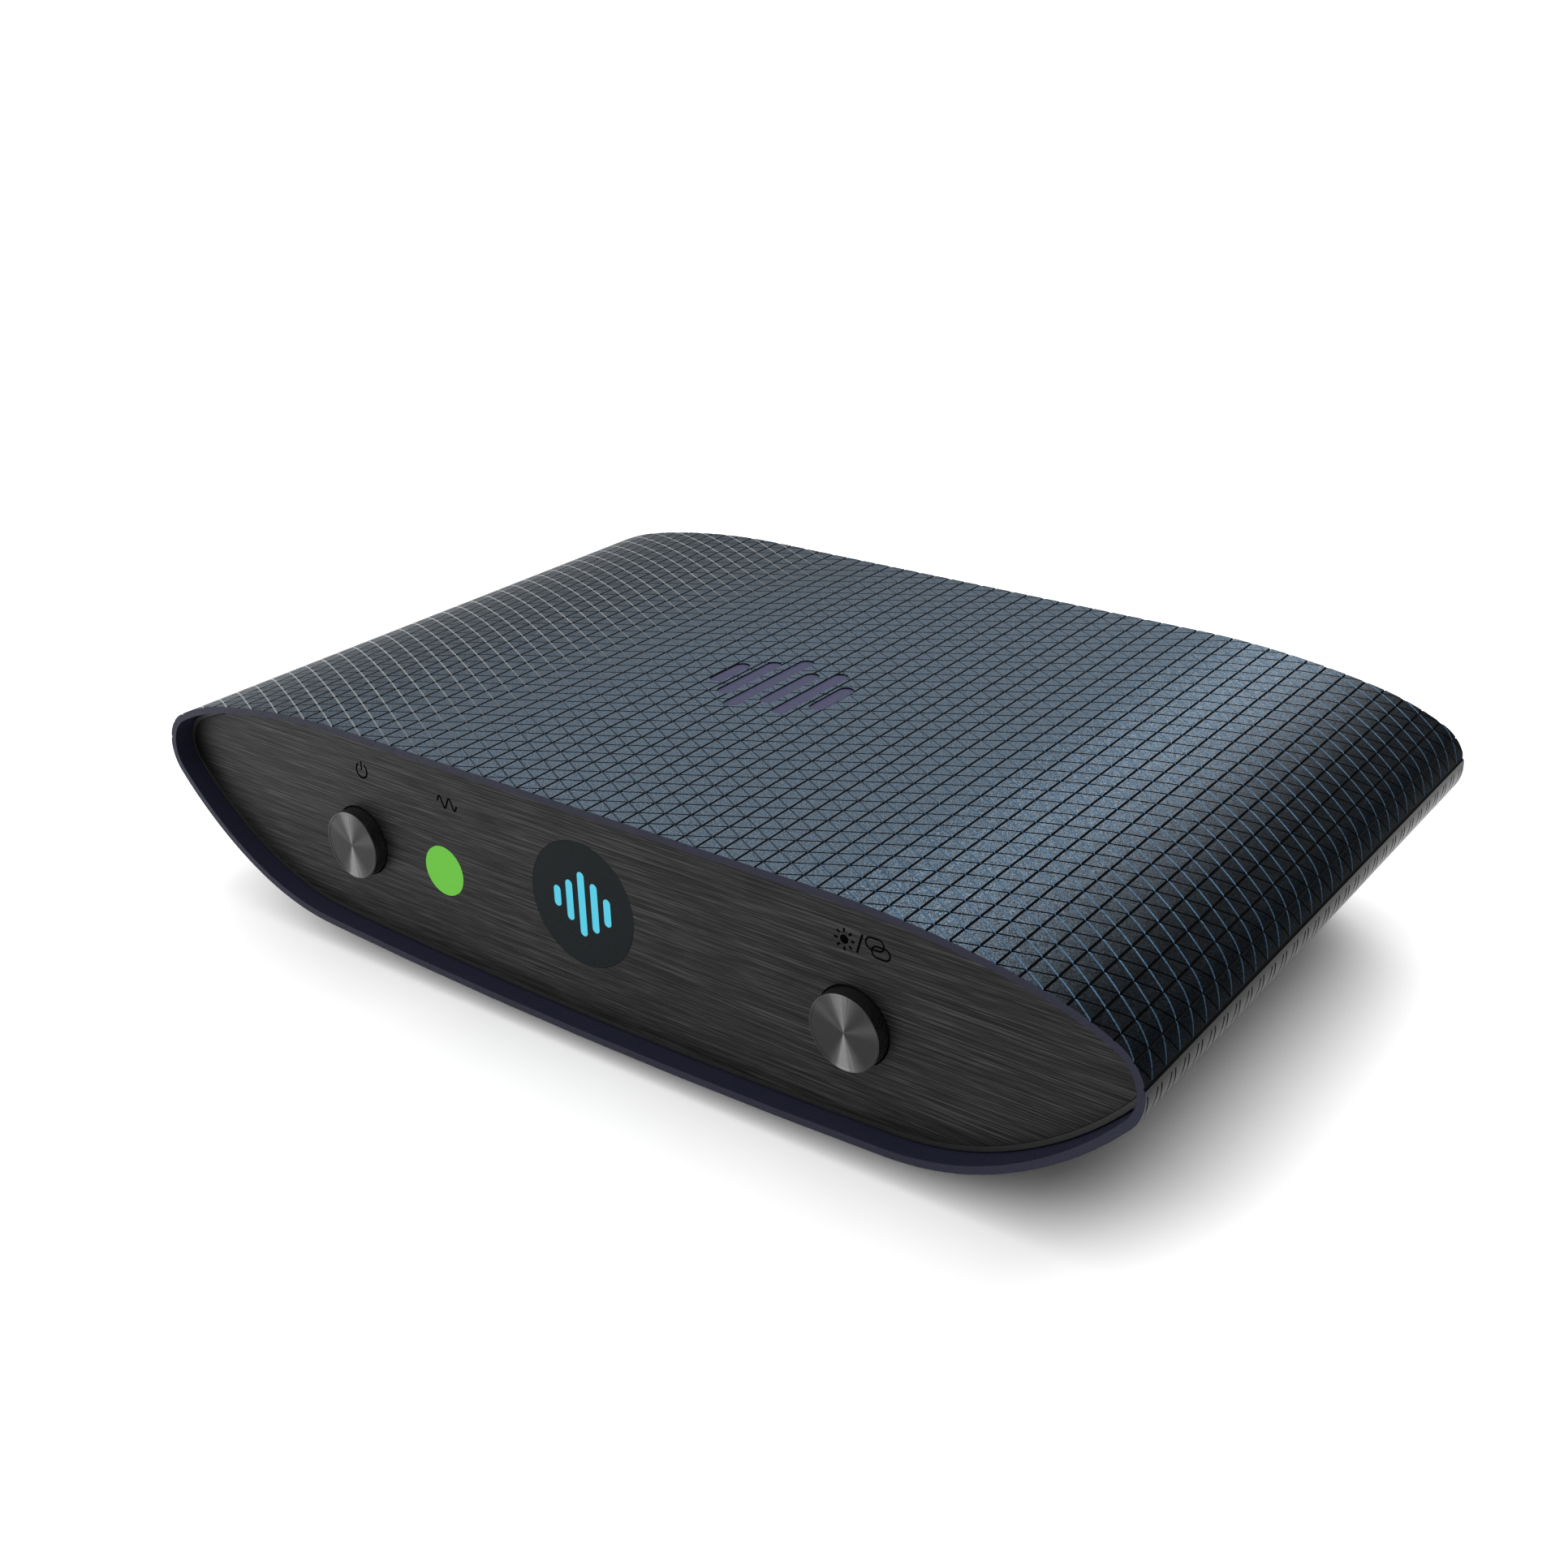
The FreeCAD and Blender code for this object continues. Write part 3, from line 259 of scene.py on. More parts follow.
def add_disc(name, centre, radius, deep, sides=96):
    """A short cylinder along Y whose front face is at the centre's y."""
    deselect()
    place = Vector(centre) + Vector((0, deep / 2, 0))
    bpy.ops.mesh.primitive_cylinder_add(vertices=sides, radius=radius, depth=deep, location=place,
                                        rotation=(math.pi / 2, 0, 0))
    bpy.ops.object.transform_apply(location=True, rotation=True, scale=True)
    return named(name)


def join(name, pieces):
    """Makes one object of several."""
    deselect()
    for piece in pieces:
        piece.select_set(True)
    bpy.context.view_layer.objects.active = pieces[0]
    if len(pieces) > 1:
        bpy.ops.object.join()
    return named(name)


# ---- materials --------------------------------------------------------------------------------------------

class Finish:
    """A material with a Principled shader, and short calls that add nodes before it."""

    def __init__(self, name, base=(0.5, 0.5, 0.5), rough=0.5, metal=0.0, **sockets):
        self.material = bpy.data.materials.new(name)
        self.material.use_nodes = True
        self.tree = self.material.node_tree
        self.shader = next(node for node in self.tree.nodes if node.type == "BSDF_PRINCIPLED")
        self.set("Base Color", (*base, 1))
        self.set("Roughness", rough)
        self.set("Metallic", metal)
        for socket, value in sockets.items():
            self.set(socket.replace("_", " "), value)
        self.coords = self.add("ShaderNodeTexCoord").outputs["Object"]

    def set(self, socket, value):
        self.shader.inputs[socket].default_value = value

    def add(self, kind, **values):
        node = self.tree.nodes.new(kind)
        for key, value in values.items():
            setattr(node, key, value)
        return node

    def link(self, source, target):
        self.tree.links.new(source, target)

    def feed(self, socket, source):
        """Links a node's output to the shader."""
        self.link(source, self.shader.inputs[socket])

    def math(self, operation, first, second=None):
        """A Math node on links or numbers."""
        node = self.add("ShaderNodeMath", operation=operation)
        for socket, value in zip(node.inputs, (first, second)):
            if value is None:
                continue
            if isinstance(value, (int, float)):
                socket.default_value = value
            else:
                self.link(value, socket)
        return node.outputs[0]

    def noise(self, scale, detail=3.0, rough=0.55, stretch=None, coords=None):
        """A noise pattern at so many features a metre, stretched along the axes if asked."""
        node = self.add("ShaderNodeTexNoise")
        node.inputs["Scale"].default_value = scale
        node.inputs["Detail"].default_value = detail
        node.inputs["Roughness"].default_value = rough
        source = coords or self.coords
        if stretch is not None:
            mapping = self.add("ShaderNodeMapping")
            mapping.inputs["Scale"].default_value = stretch
            self.link(source, mapping.inputs["Vector"])
            source = mapping.outputs[0]
        self.link(source, node.inputs["Vector"])
        return node.outputs["Fac"]

    def ramp(self, source, *stops):
        """A colour ramp given as (position, colour) stops; grey stops may be single numbers."""
        node = self.add("ShaderNodeValToRGB")
        elements = node.color_ramp.elements
        while len(elements) < len(stops):
            elements.new(0.5)
        for element, (position, value) in zip(elements, stops):
            element.position = position
            element.color = (*value, 1) if isinstance(value, tuple) else (value, value, value, 1)
        self.link(source, node.inputs["Fac"])
        return node.outputs["Color"]

    def mix(self, factor, first, second, blend="MIX"):
        """A colour mix of links or colours."""
        node = self.add("ShaderNodeMix", data_type="RGBA", blend_type=blend)
        factor_in, first_in, second_in = node.inputs[0], node.inputs[6], node.inputs[7]
        for socket, value in ((factor_in, factor), (first_in, first), (second_in, second)):
            if isinstance(value, (int, float)):
                socket.default_value = value
            elif isinstance(value, tuple):
                socket.default_value = (*value, 1)
            else:
                self.link(value, socket)
        return node.outputs[2]

    def spread(self, source, low, high, out_low, out_high):
        """A smooth Map Range."""
        node = self.add("ShaderNodeMapRange", interpolation_type="SMOOTHSTEP")
        sockets = ("From Min", "From Max", "To Min", "To Max")
        for socket, value in zip(sockets, (low, high, out_low, out_high)):
            node.inputs[socket].default_value = value
        self.link(source, node.inputs["Value"])
        return node.outputs[0]

    def place(self):
        """The coordinates of the point, as outputs called X, Y and Z."""
        node = self.add("ShaderNodeSeparateXYZ")
        self.link(self.coords, node.inputs[0])
        return node.outputs

    def bump(self, source, strength, distance):
        node = self.add("ShaderNodeBump")
        node.inputs["Strength"].default_value = strength
        node.inputs["Distance"].default_value = distance
        self.link(source, node.inputs["Height"])
        self.feed("Normal", node.outputs["Normal"])


def colours():
    return bpy.context.scene.converter_colours


def flake_lacquer():
    """Blue-grey lacquer with fine bright flakes, with painted shade darkening it towards both sides and a
    painted sheen greying it to the left and rear.
    """
    made = Finish("flake_lacquer", rough=0.42, metal=0.6, IOR=1.18)
    skin = tuple(colours().skin)
    place = made.place()
    x, y = place["X"], place["Y"]
    fine = made.noise(7600, detail=1.5, rough=0.8)
    broad = made.noise(2600, detail=3.0)
    grain = made.math("ADD", made.math("MULTIPLY", fine, 0.8), made.math("MULTIPLY", broad, 0.2))
    dark = tuple(part * 0.3 for part in skin)
    light = tuple(part * 5.0 for part in skin)
    lacquer = made.ramp(grain, (0.38, dark), (0.5, skin), (0.64, light))
    # Painted sheen: the lacquer turns greyer towards the left and the rear.
    grey = tuple(sum(skin) / 3 * part for part in (0.92, 1.0, 1.05))
    sheen_rear_left = made.math("SUBTRACT", x, made.math("MULTIPLY", y, 0.8))
    left = made.spread(sheen_rear_left, -85 * MM, 5 * MM, 0.75, 0.0)
    lacquer = made.mix(left, lacquer, made.mix(0.5, lacquer, grey))
    # Painted shade: the lacquer's colour darkens to nearly black towards the right side, and less towards
    # the left.
    shade_starts_right, shade_full_right = 46 * MM, 73.5 * MM
    shade_starts_left, shade_full_left = -5 * MM, -66 * MM
    for turns, edge, end in ((shade_starts_right, shade_full_right, 0.05), (shade_starts_left, shade_full_left, 0.55)):
        lacquer = made.mix(1.0, lacquer, made.spread(x, turns, edge, 1.0, end), "MULTIPLY")
    made.feed("Base Color", lacquer)
    # Metallic and specular level fall towards the right too, so that the right side reflects little: more
    # painted shade.
    made.feed("Metallic", made.spread(x, shade_starts_right, shade_full_right, 0.6, 0.05))
    made.feed("Specular IOR Level", made.spread(x, shade_starts_right, shade_full_right, 0.5, 0.02))
    made.feed("Roughness", made.ramp(grain, (0.35, 0.5), (0.7, 0.3)))
    made.bump(fine, 0.25, 0.04 * MM)
    return made.material


def groove_dark():
    """Near-black floor and walls of the grooves and of the mark's recess: painted shade."""
    made = Finish("groove_dark", rough=0.6, IOR=1.08)
    made.feed("Base Color", made.ramp(made.noise(6000), (0.3, 0.0004), (0.7, 0.0014)))
    made.bump(made.noise(9000), 0.2, 0.03 * MM)
    return made.material


def groove_bright():
    """Walls of one slanting family of grooves, coloured as a painted glint: blue towards the right, pale
    grey towards the left, with flake speckle.
    """
    made = Finish("groove_bright", rough=0.4, metal=0.5, IOR=1.18)
    x = made.place()["X"]
    # The painted glint's colour runs from blue at the right to pale grey at the left.
    right = made.spread(x, 26 * MM, 52 * MM, 0.0, 1.0)
    left = made.spread(x, -12 * MM, -50 * MM, 0.0, 1.0)
    tone = made.mix(right, tuple(part * 1.25 for part in colours().skin), (0.085, 0.17, 0.27))
    tone = made.mix(left, tone, (0.42, 0.44, 0.45))
    speckle = made.ramp(made.noise(5200, detail=2.0), (0.3, 0.35), (0.6, 1.0))
    # Painted shade: the glint dims near the right edge.
    fade = made.spread(x, 69 * MM, 78 * MM, 1.0, 0.45)
    tone = made.mix(1.0, tone, fade, "MULTIPLY")
    made.feed("Base Color", made.mix(1.0, tone, speckle, "MULTIPLY"))
    made.feed("Roughness", made.ramp(made.noise(3000), (0.3, 0.3), (0.7, 0.5)))
    return made.material


def gloss_side():
    """Near-black gloss of the plain lower side."""
    made = Finish("gloss_side", rough=0.2, IOR=1.14)
    made.feed("Base Color", made.ramp(made.noise(4200), (0.35, (0.0016, 0.0018, 0.0024)),
                                      (0.7, (0.0035, 0.004, 0.006))))
    made.feed("Roughness", made.ramp(made.noise(900), (0.3, 0.17), (0.7, 0.28)))
    made.bump(made.noise(5200), 0.06, 0.03 * MM)
    return made.material


def navy_edge():
    """Anodised dark blue of the cut rim and the inner wall, with a faint blasted grain."""
    made = Finish("navy_edge", rough=0.5, Specular_IOR_Level=0.15)
    rim = tuple(colours().rim)
    dark = tuple(part * 0.75 for part in rim)
    light = tuple(part * 1.25 for part in rim)
    made.feed("Base Color", made.ramp(made.noise(7000), (0.35, dark), (0.65, light)))
    made.feed("Roughness", made.ramp(made.noise(2400), (0.3, 0.42), (0.7, 0.58)))
    made.bump(made.noise(8000), 0.12, 0.03 * MM)
    return made.material


def brushed_plate():
    """Dark anodised plate with long brush marks from side to side, and painted shade darkening its left end.
    """
    made = Finish("brushed_plate", rough=0.42, metal=0.5, Specular_IOR_Level=0.2)
    plate = tuple(colours().plate)
    long_marks = made.noise(1.0, detail=4.0, rough=0.65, stretch=(45, 40, 5200))
    short_marks = made.noise(1.0, detail=2.0, rough=0.6, stretch=(160, 60, 9000))
    marks = made.math("ADD", made.math("MULTIPLY", long_marks, 0.62),
                      made.math("MULTIPLY", short_marks, 0.38))
    tone = made.ramp(marks, (0.38, tuple(part * 0.1 for part in plate)), (0.5, plate),
                     (0.62, tuple(part * 4 for part in plate)))
    x = made.place()["X"]
    # Painted shade: the colour falls towards black over the plate's last few millimetres on the left.
    end = made.spread(x, -76.5 * MM, -69 * MM, 0.12, 1.0)
    made.feed("Base Color", made.mix(1.0, tone, end, "MULTIPLY"))
    made.feed("Roughness", made.ramp(marks, (0.35, 0.55), (0.65, 0.36)))
    made.bump(marks, 0.35, 0.04 * MM)
    return made.material


def turned_face(name, centre):
    """Spun face of a cap: fine rings of cut round the axis, with painted highlights in the shape of the soft
    bright wedges that a turned surface reflects.
    """
    made = Finish(name, rough=0.34, metal=0.6)
    place = made.place()
    across = made.math("SUBTRACT", place["X"], centre.x)
    up = made.math("SUBTRACT", place["Z"], centre.z)
    turn = made.math("ARCTAN2", up, across)
    squares = made.math("ADD", made.math("POWER", across, 2.0), made.math("POWER", up, 2.0))
    reach = made.math("SQRT", squares)
    polar = made.add("ShaderNodeCombineXYZ")
    made.link(turn, polar.inputs[0])
    made.link(reach, polar.inputs[1])
    spokes = made.noise(1.0, detail=4.0, rough=0.7, stretch=(14, 120, 1), coords=polar.outputs[0])
    rings = made.noise(1.0, detail=2.0, stretch=(0.6, 9000, 1), coords=polar.outputs[0])
    # Painted highlight: two sets of bright wedges by the angle round the axis, streaked by the spokes.
    painted_wedge = made.math("SINE", made.math("ADD", made.math("MULTIPLY", turn, 2.0), math.radians(-100)))
    painted_wedge = made.math("POWER", made.math("MAXIMUM", painted_wedge, 0.0), 2.2)
    second = made.math("SINE", made.math("ADD", made.math("MULTIPLY", turn, 3.0), math.radians(20)))
    second = made.math("POWER", made.math("MAXIMUM", second, 0.0), 4.0)
    light = made.math("ADD", made.math("MULTIPLY", painted_wedge, 0.75), made.math("MULTIPLY", second, 0.3))
    light = made.math("MULTIPLY", light, made.math("ADD", spokes, 0.3))
    made.feed("Base Color", made.ramp(light, (0.0, 0.012), (0.35, 0.05), (0.8, 0.2)))
    made.feed("Roughness", made.ramp(rings, (0.35, 0.3), (0.65, 0.45)))
    made.bump(rings, 0.3, 0.02 * MM)
    return made.material


def black_satin(name, base=0.006, rough=0.4, grain=5200.0, **sockets):
    """Satin black with a fine moulded grain."""
    made = Finish(name, rough=rough, **sockets)
    made.feed("Base Color", made.ramp(made.noise(grain), (0.3, base * 0.6), (0.7, base * 1.4)))
    made.feed("Roughness", made.ramp(made.noise(grain / 3), (0.3, rough - 0.07), (0.7, rough + 0.07)))
    made.bump(made.noise(grain * 1.6), 0.15, 0.03 * MM)
    return made.material


def toned(name, dark, light, rough, metal=0.0, scale=3000.0, bump=0.1, **sockets):
    """A finish whose colour wanders between two tones with a fine grain."""
    made = Finish(name, rough=rough, metal=metal, **sockets)
    made.feed("Base Color", made.ramp(made.noise(scale), (0.32, dark), (0.68, light)))
    made.feed("Roughness", made.ramp(made.noise(scale / 4), (0.3, rough * 0.8), (0.7, min(1, rough * 1.2))))
    made.bump(made.noise(scale * 2), bump, 0.03 * MM)
    return made.material


def glowing(name, light, strength=1.0):
    """An evenly lit surface with a barely visible diffuser grain."""
    made = Finish(name, base=(0.0, 0.0, 0.0), rough=0.5, Specular_IOR_Level=0.05)
    soft = tuple(part * 0.96 for part in light)
    made.feed("Emission Color", made.ramp(made.noise(1500), (0.3, soft), (0.7, light)))
    made.set("Emission Strength", strength)
    made.feed("Roughness", made.ramp(made.noise(1500), (0.3, 0.45), (0.7, 0.55)))
    return made.material


def smoked_glass():
    """Smoked window with a faint teal cast."""
    made = Finish("smoked_glass", rough=0.3, IOR=1.15)
    made.feed("Base Color", made.ramp(made.noise(1800), (0.3, (0.003, 0.0055, 0.0065)),
                                      (0.7, (0.0042, 0.0072, 0.0082))))
    made.feed("Roughness", made.ramp(made.noise(1200), (0.3, 0.26), (0.7, 0.34)))
    return made.material


def board_mask():
    """Green solder mask with copper runs under it."""
    made = Finish("board_mask", rough=0.35)
    runs = made.noise(1.0, detail=0.0, stretch=(420, 900, 300))
    made.feed("Base Color", made.ramp(runs, (0.47, (0.004, 0.035, 0.016)), (0.5, (0.012, 0.075, 0.03)),
                                      (0.53, (0.004, 0.035, 0.016))))
    made.bump(runs, 0.2, 0.04 * MM)
    return made.material


def dress(node, material):
    """Gives a CAD node a material."""
    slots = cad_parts[node].data.materials
    slots.clear()
    slots.append(material)


def coat(made, *materials):
    """Gives a new piece its materials."""
    made.data.materials.clear()
    for material in materials:
        made.data.materials.append(material)


# ---- sleeve -----------------------------------------------------------------------------------------------

# Material slots: lacquer tiles, groove and recess faces with painted shade, slanting groove walls with a
# painted glint, the gloss side and the cut edge.
TILE, PAINTED_SHADE, PAINTED_GLINT, GLOSS, EDGE = range(5)


def bar_outline(x, y, wide, long, turns=8):
    """Sides of a round-ended bar as points and outward normals in the flat sheet."""
    reach = wide / 2
    straight = (long - wide) / 2
    for end in (1, -1):
        for count in range(turns + 1):
            turn = math.pi * count / turns
            normal = Vector((math.cos(turn), end * math.sin(turn), 0))
            yield Vector((x, y + end * straight, 0)) + normal * reach, normal


class OBJECT_OT_converter_sleeve(bpy.types.Operator):
    """Cut the triangle lattice into a flat sheet and wrap it round the sleeve's section"""
    bl_idname = "object.converter_sleeve"
    bl_label = "Sleeve"
    # Lengths in the flat sheet are in millimetres.
    inner_reach = 6          # how far the sleeve's inner wall is drawn in from each end
    margin = 1.5             # sheet beyond each end, trimmed off when the lattice is cut
    last_floor = 0.22        # from the last line to the far side of its groove's floor
    plain_start = 0.4        # from the last line to the plain lower side
    slot_start = 1.1         # from the last line to the slots
    slot_half = 0.15         # half of a slot's width
    slot_apart = 0.42        # half of the distance between the two slots of a pair
    slot_lean = 0.13         # how far a slot leans for each millimetre down
    slot_wall = 0.09         # width of a slot's sloping wall
    slot_deep = 0.16
    mark_deep = 0.4

    def execute(self, context):
        sizes = context.scene.converter_sleeve
        section = Section(sizes)
        whole = section.whole / MM
        deep = (HIGH.y - LOW.y) / MM
        step = sizes.line_step / MM
        cross = sizes.cross_step / MM
        half = sizes.groove_half / MM
        drop = sizes.groove_deep / MM
        last = (sizes.line_count - 0.5) * step
        deselect()
        bpy.ops.mesh.primitive_plane_add(size=2)
        sheet = named("sleeve_skin")
        coat(sheet, flake_lacquer(), groove_dark(), groove_bright(), gloss_side(), navy_edge())
        edit(sheet)
        bpy.ops.mesh.select_all(action="SELECT")
        bpy.ops.transform.resize(value=(whole, deep / 2 + self.margin, 1))
        bpy.ops.transform.translate(value=(0, deep / 2, 0))
        self.cut_slots(sheet, last, cross, deep, sizes.slot_long / MM)
        self.cut_lattice(sheet, last, step, cross, deep)
        self.sink_grooves(sheet, last, half, drop)
        self.sink_mark(sheet)
        self.cut_curves(section)
        self.close_ends(sheet, deep, sizes.wall / MM)
        self.wrap(sheet, section)
        finish_piece(sheet, "casing", smooth=26)
        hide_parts("sleeve")
        return {"FINISHED"}

    def cut_slots(self, sheet, last, cross, deep, slot_long):
        """Outlines and sinks pairs of short slots that spread from under each crossing of the last line."""
        start = last + self.slot_start
        end = start + slot_long
        for sign in (-1, 1):
            groove = last, last + self.last_floor, last + self.plain_start
            cut_lines(sign * along for along in (*groove, start, end))
        count = int((deep + 2 * self.margin) / cross) + 1
        slants = []
        for sign in (-1, 1):
            for number in range(count):
                for spread in (-1, 1):
                    slants.append((sign, number * cross + spread * self.slot_apart, spread * self.slot_lean))
        for sign, y, lean in slants:
            for offset in (-self.slot_half, self.slot_half):
                pick_faces(sheet, lambda face: start < sign * face.calc_center_median().x < end)
                normal = Vector((-sign * lean, 1, 0)).normalized()
                bisect((sign * start, y + offset, 0), normal)
        mesh = bmesh.from_edit_mesh(sheet.data)
        found = False
        for face in mesh.faces:
            middle = face.calc_center_median()
            in_slot = False
            for sign, y, lean in slants:
                if start < sign * middle.x < end:
                    centre = y + lean * (abs(middle.x) - start)
                    in_slot = in_slot or abs(middle.y - centre) < self.slot_half
            face.select_set(in_slot)
            face.material_index = GLOSS
            found = found or in_slot
        bmesh.update_edit_mesh(sheet.data)
        if not found:
            raise RuntimeError("no slots were outlined")
        bpy.ops.mesh.inset(use_individual=True, thickness=self.slot_wall, depth=-self.slot_deep)

    def cut_lattice(self, sheet, last, step, cross, deep):
        """Cuts the three families of lines across the upper stretch."""
        lines = int(last / step)
        cut_lines((number + 0.5) * step for number in range(-lines - 1, lines + 1))
        slope = cross / 2 / step
        reach = last * slope
        for way in (1, -1):
            normal = Vector((-way * slope, 1, 0)).normalized()
            first = math.floor((-reach - self.margin) / cross)
            for number in range(first, math.ceil((deep + reach + self.margin) / cross) + 1):
                y = number * cross + way * slope * 0.5 * step
                pick_faces(sheet, lambda face: abs(face.calc_center_median().x) < last)
                bisect((0, y, 0), normal)

    def sink_grooves(self, sheet, last, half, drop):
        """Insets each tile and lowers the lattice between the insets.

        The sheet is narrowed for the inset, so that the slanted grooves come out thinner than the others.
        """
        mesh = pick_faces(sheet, lambda face: abs(face.calc_center_median().x) < last)
        sunk = set()
        edge = last + (self.last_floor + self.plain_start) / 2
        for vert in mesh.verts:
            if abs(vert.co.x) < edge and abs(vert.co.z) < 0.001:
                sunk.add((round(vert.co.x, 3), round(vert.co.y, 3)))
        narrow = 0.5
        bpy.ops.transform.resize(value=(narrow, 1, 1), center_override=(0, 0, 0))
        bpy.ops.mesh.inset(use_individual=True, thickness=half * narrow, depth=0)
        mesh = bmesh.from_edit_mesh(sheet.data)
        for vert in mesh.verts:
            if abs(vert.co.x) < last * narrow + 0.0001:
                vert.co.x /= narrow
        self.colour_faces(mesh, last, drop, sunk)
        bmesh.update_edit_mesh(sheet.data)

    def colour_faces(self, mesh, last, drop, sunk):
        """Lowers the lattice's own points and sorts the faces into tiles, groove faces with painted shade,
        and walls of one slanting family with a painted glint.
        """
        for vert in mesh.verts:
            if (round(vert.co.x, 3), round(vert.co.y, 3)) in sunk:
                vert.co.z = -drop
        for face in mesh.faces:
            middle = face.calc_center_median()
            if abs(middle.x) > last + self.plain_start:
                continue
            low = [vert.co for vert in face.verts if vert.co.z < -drop / 2]
            if not low:
                face.material_index = TILE if abs(middle.x) < last else GLOSS
            # Groove faces get painted shade, except the walls of one slanting family, which get a painted
            # glint.
            elif abs(middle.x) > last or len(low) < 2:
                face.material_index = PAINTED_SHADE
            else:
                run = low[1] - low[0]
                slanted = abs(run.x) > abs(run.y)
                face.material_index = PAINTED_GLINT if slanted and run.x * run.y < 0 else PAINTED_SHADE

    def sink_mark(self, sheet):
        """Opens the recess for the mark in the flat top, bar by bar."""
        low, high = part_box("top_inlay")
        wide = (high.x - low.x) / MM
        middle = ((low.y + high.y) / 2 - LOW.y) / MM
        wide_share, step_share = 0.115, 0.177
        long_shares = (0.38, 0.66, 0.95, 0.6, 0.8, 0.44)
        bar_wide = wide * wide_share
        for count, share in enumerate(long_shares):
            x = (count - (len(long_shares) - 1) / 2) * wide * step_share
            long = share * wide
            sides = list(bar_outline(x, middle, bar_wide, long))
            for number, (point, normal) in enumerate(sides):
                pick_faces(sheet, lambda face: near(face, x, middle, bar_wide, long)
                           and all(inside(face, *side) for side in sides[:number]))
                bisect(point, normal)
            pick_faces(sheet, lambda face: all(inside(face, *side) for side in sides))
            bpy.ops.mesh.delete(type="FACE")
            pick_edges(sheet, lambda edge: edge.is_boundary and on_bar(edge, x, middle, bar_wide, long))
            bpy.ops.mesh.extrude_edges_move()
            mesh = bmesh.from_edit_mesh(sheet.data)
            for vert in mesh.verts:
                if vert.select:
                    vert.co.z = -self.mark_deep
            # The recess's walls take the painted shade of the grooves.
            for face in mesh.faces:
                if any(vert.select for vert in face.verts):
                    face.material_index = PAINTED_SHADE
            bmesh.update_edit_mesh(sheet.data)

    def cut_curves(self, section):
        """Adds lines where the section bends, so that the wrapped sheet follows it.

        The steps are for the crown, the shoulder, the corner, the side, the hip and the bottom.
        """
        steps = (2.873, 1.4365, 0.45, 2.0, 1.6, 14.0)
        lines = []
        ends = [arc[0] / MM for arc in section.arcs[1:]] + [section.whole / MM]
        for (along, *_), end, step in zip(section.arcs, ends, steps):
            start = along / MM
            count = max(1, round((end - start) / step))
            lines += [start + (end - start) * number / count for number in range(count)]
        for sign in (-1, 1):
            cut_lines(sign * along for along in lines)

    def close_ends(self, sheet, deep, wall):
        """Trims the sheet square and turns both rims and the inner wall inwards."""
        for y, way in ((0, -1), (deep, 1)):
            bpy.ops.mesh.select_mode(type="FACE")
            bpy.ops.mesh.select_all(action="SELECT")
            bpy.ops.mesh.bisect(plane_co=(0, y, 0), plane_no=(0, way, 0), clear_outer=True,
                                threshold=0.0002)
            pick_edges(sheet, lambda edge: all(abs(vert.co.y - y) < 0.001 for vert in edge.verts))
            for shift in (0.0, -way * self.inner_reach):
                bpy.ops.mesh.extrude_edges_move()
                mesh = bmesh.from_edit_mesh(sheet.data)
                for vert in mesh.verts:
                    if vert.select:
                        vert.co.z = -wall
                        vert.co.y += shift
                for face in mesh.faces:
                    reached = min(vert.co.z for vert in face.verts) < -0.9 * wall
                    if reached and any(vert.select for vert in face.verts):
                        face.material_index = EDGE
                bmesh.update_edit_mesh(sheet.data)

    def wrap(self, sheet, section):
        """Moves every point from the flat sheet onto the section and joins the two inner walls."""
        bpy.ops.object.mode_set(mode="OBJECT")
        for vert in sheet.data.vertices:
            along, y, depth = vert.co
            place = section.point(along * MM, -depth * MM)
            vert.co = (place.x, LOW.y + y * MM, place.z)
        edit(sheet)
        bpy.ops.mesh.select_all(action="SELECT")
        bpy.ops.mesh.remove_doubles(threshold=0.000002)
        inner = LOW.y + self.inner_reach * MM, HIGH.y - self.inner_reach * MM
        pick_edges(sheet, lambda edge: edge.is_boundary and any(
            all(abs(vert.co.y - y) < 0.00001 for vert in edge.verts) for y in inner))
        bpy.ops.mesh.bridge_edge_loops()
        mesh = bmesh.from_edit_mesh(sheet.data)
        for face in mesh.faces:
            if face.select:
                face.material_index = EDGE
        bmesh.update_edit_mesh(sheet.data)
        bpy.ops.mesh.select_all(action="SELECT")
        bpy.ops.mesh.normals_make_consistent(inside=False)
        bpy.ops.object.mode_set(mode="OBJECT")


def near(face, x, y, wide, long):
    """Whether any part of a face of the flat sheet is inside a bar's box."""
    across = [vert.co.x for vert in face.verts]
    along = [vert.co.y for vert in face.verts]
    return (max(across) > x - wide / 2 and min(across) < x + wide / 2
            and max(along) > y - long / 2 and min(along) < y + long / 2)


def inside(face, point, normal):
    """Whether a face lies on the inner side of one side of a bar."""
    return (face.calc_center_median() - point).dot(normal) < 0


def on_bar(edge, x, y, wide, long):
    """Whether an edge of the flat sheet lies within a bar's box, give or take."""
    reach = 0.05
    return all(abs(vert.co.x - x) < wide / 2 + reach and abs(vert.co.y - y) < long / 2 + reach
               for vert in edge.verts)


# ---- front ------------------------------------------------------------------------------------------------

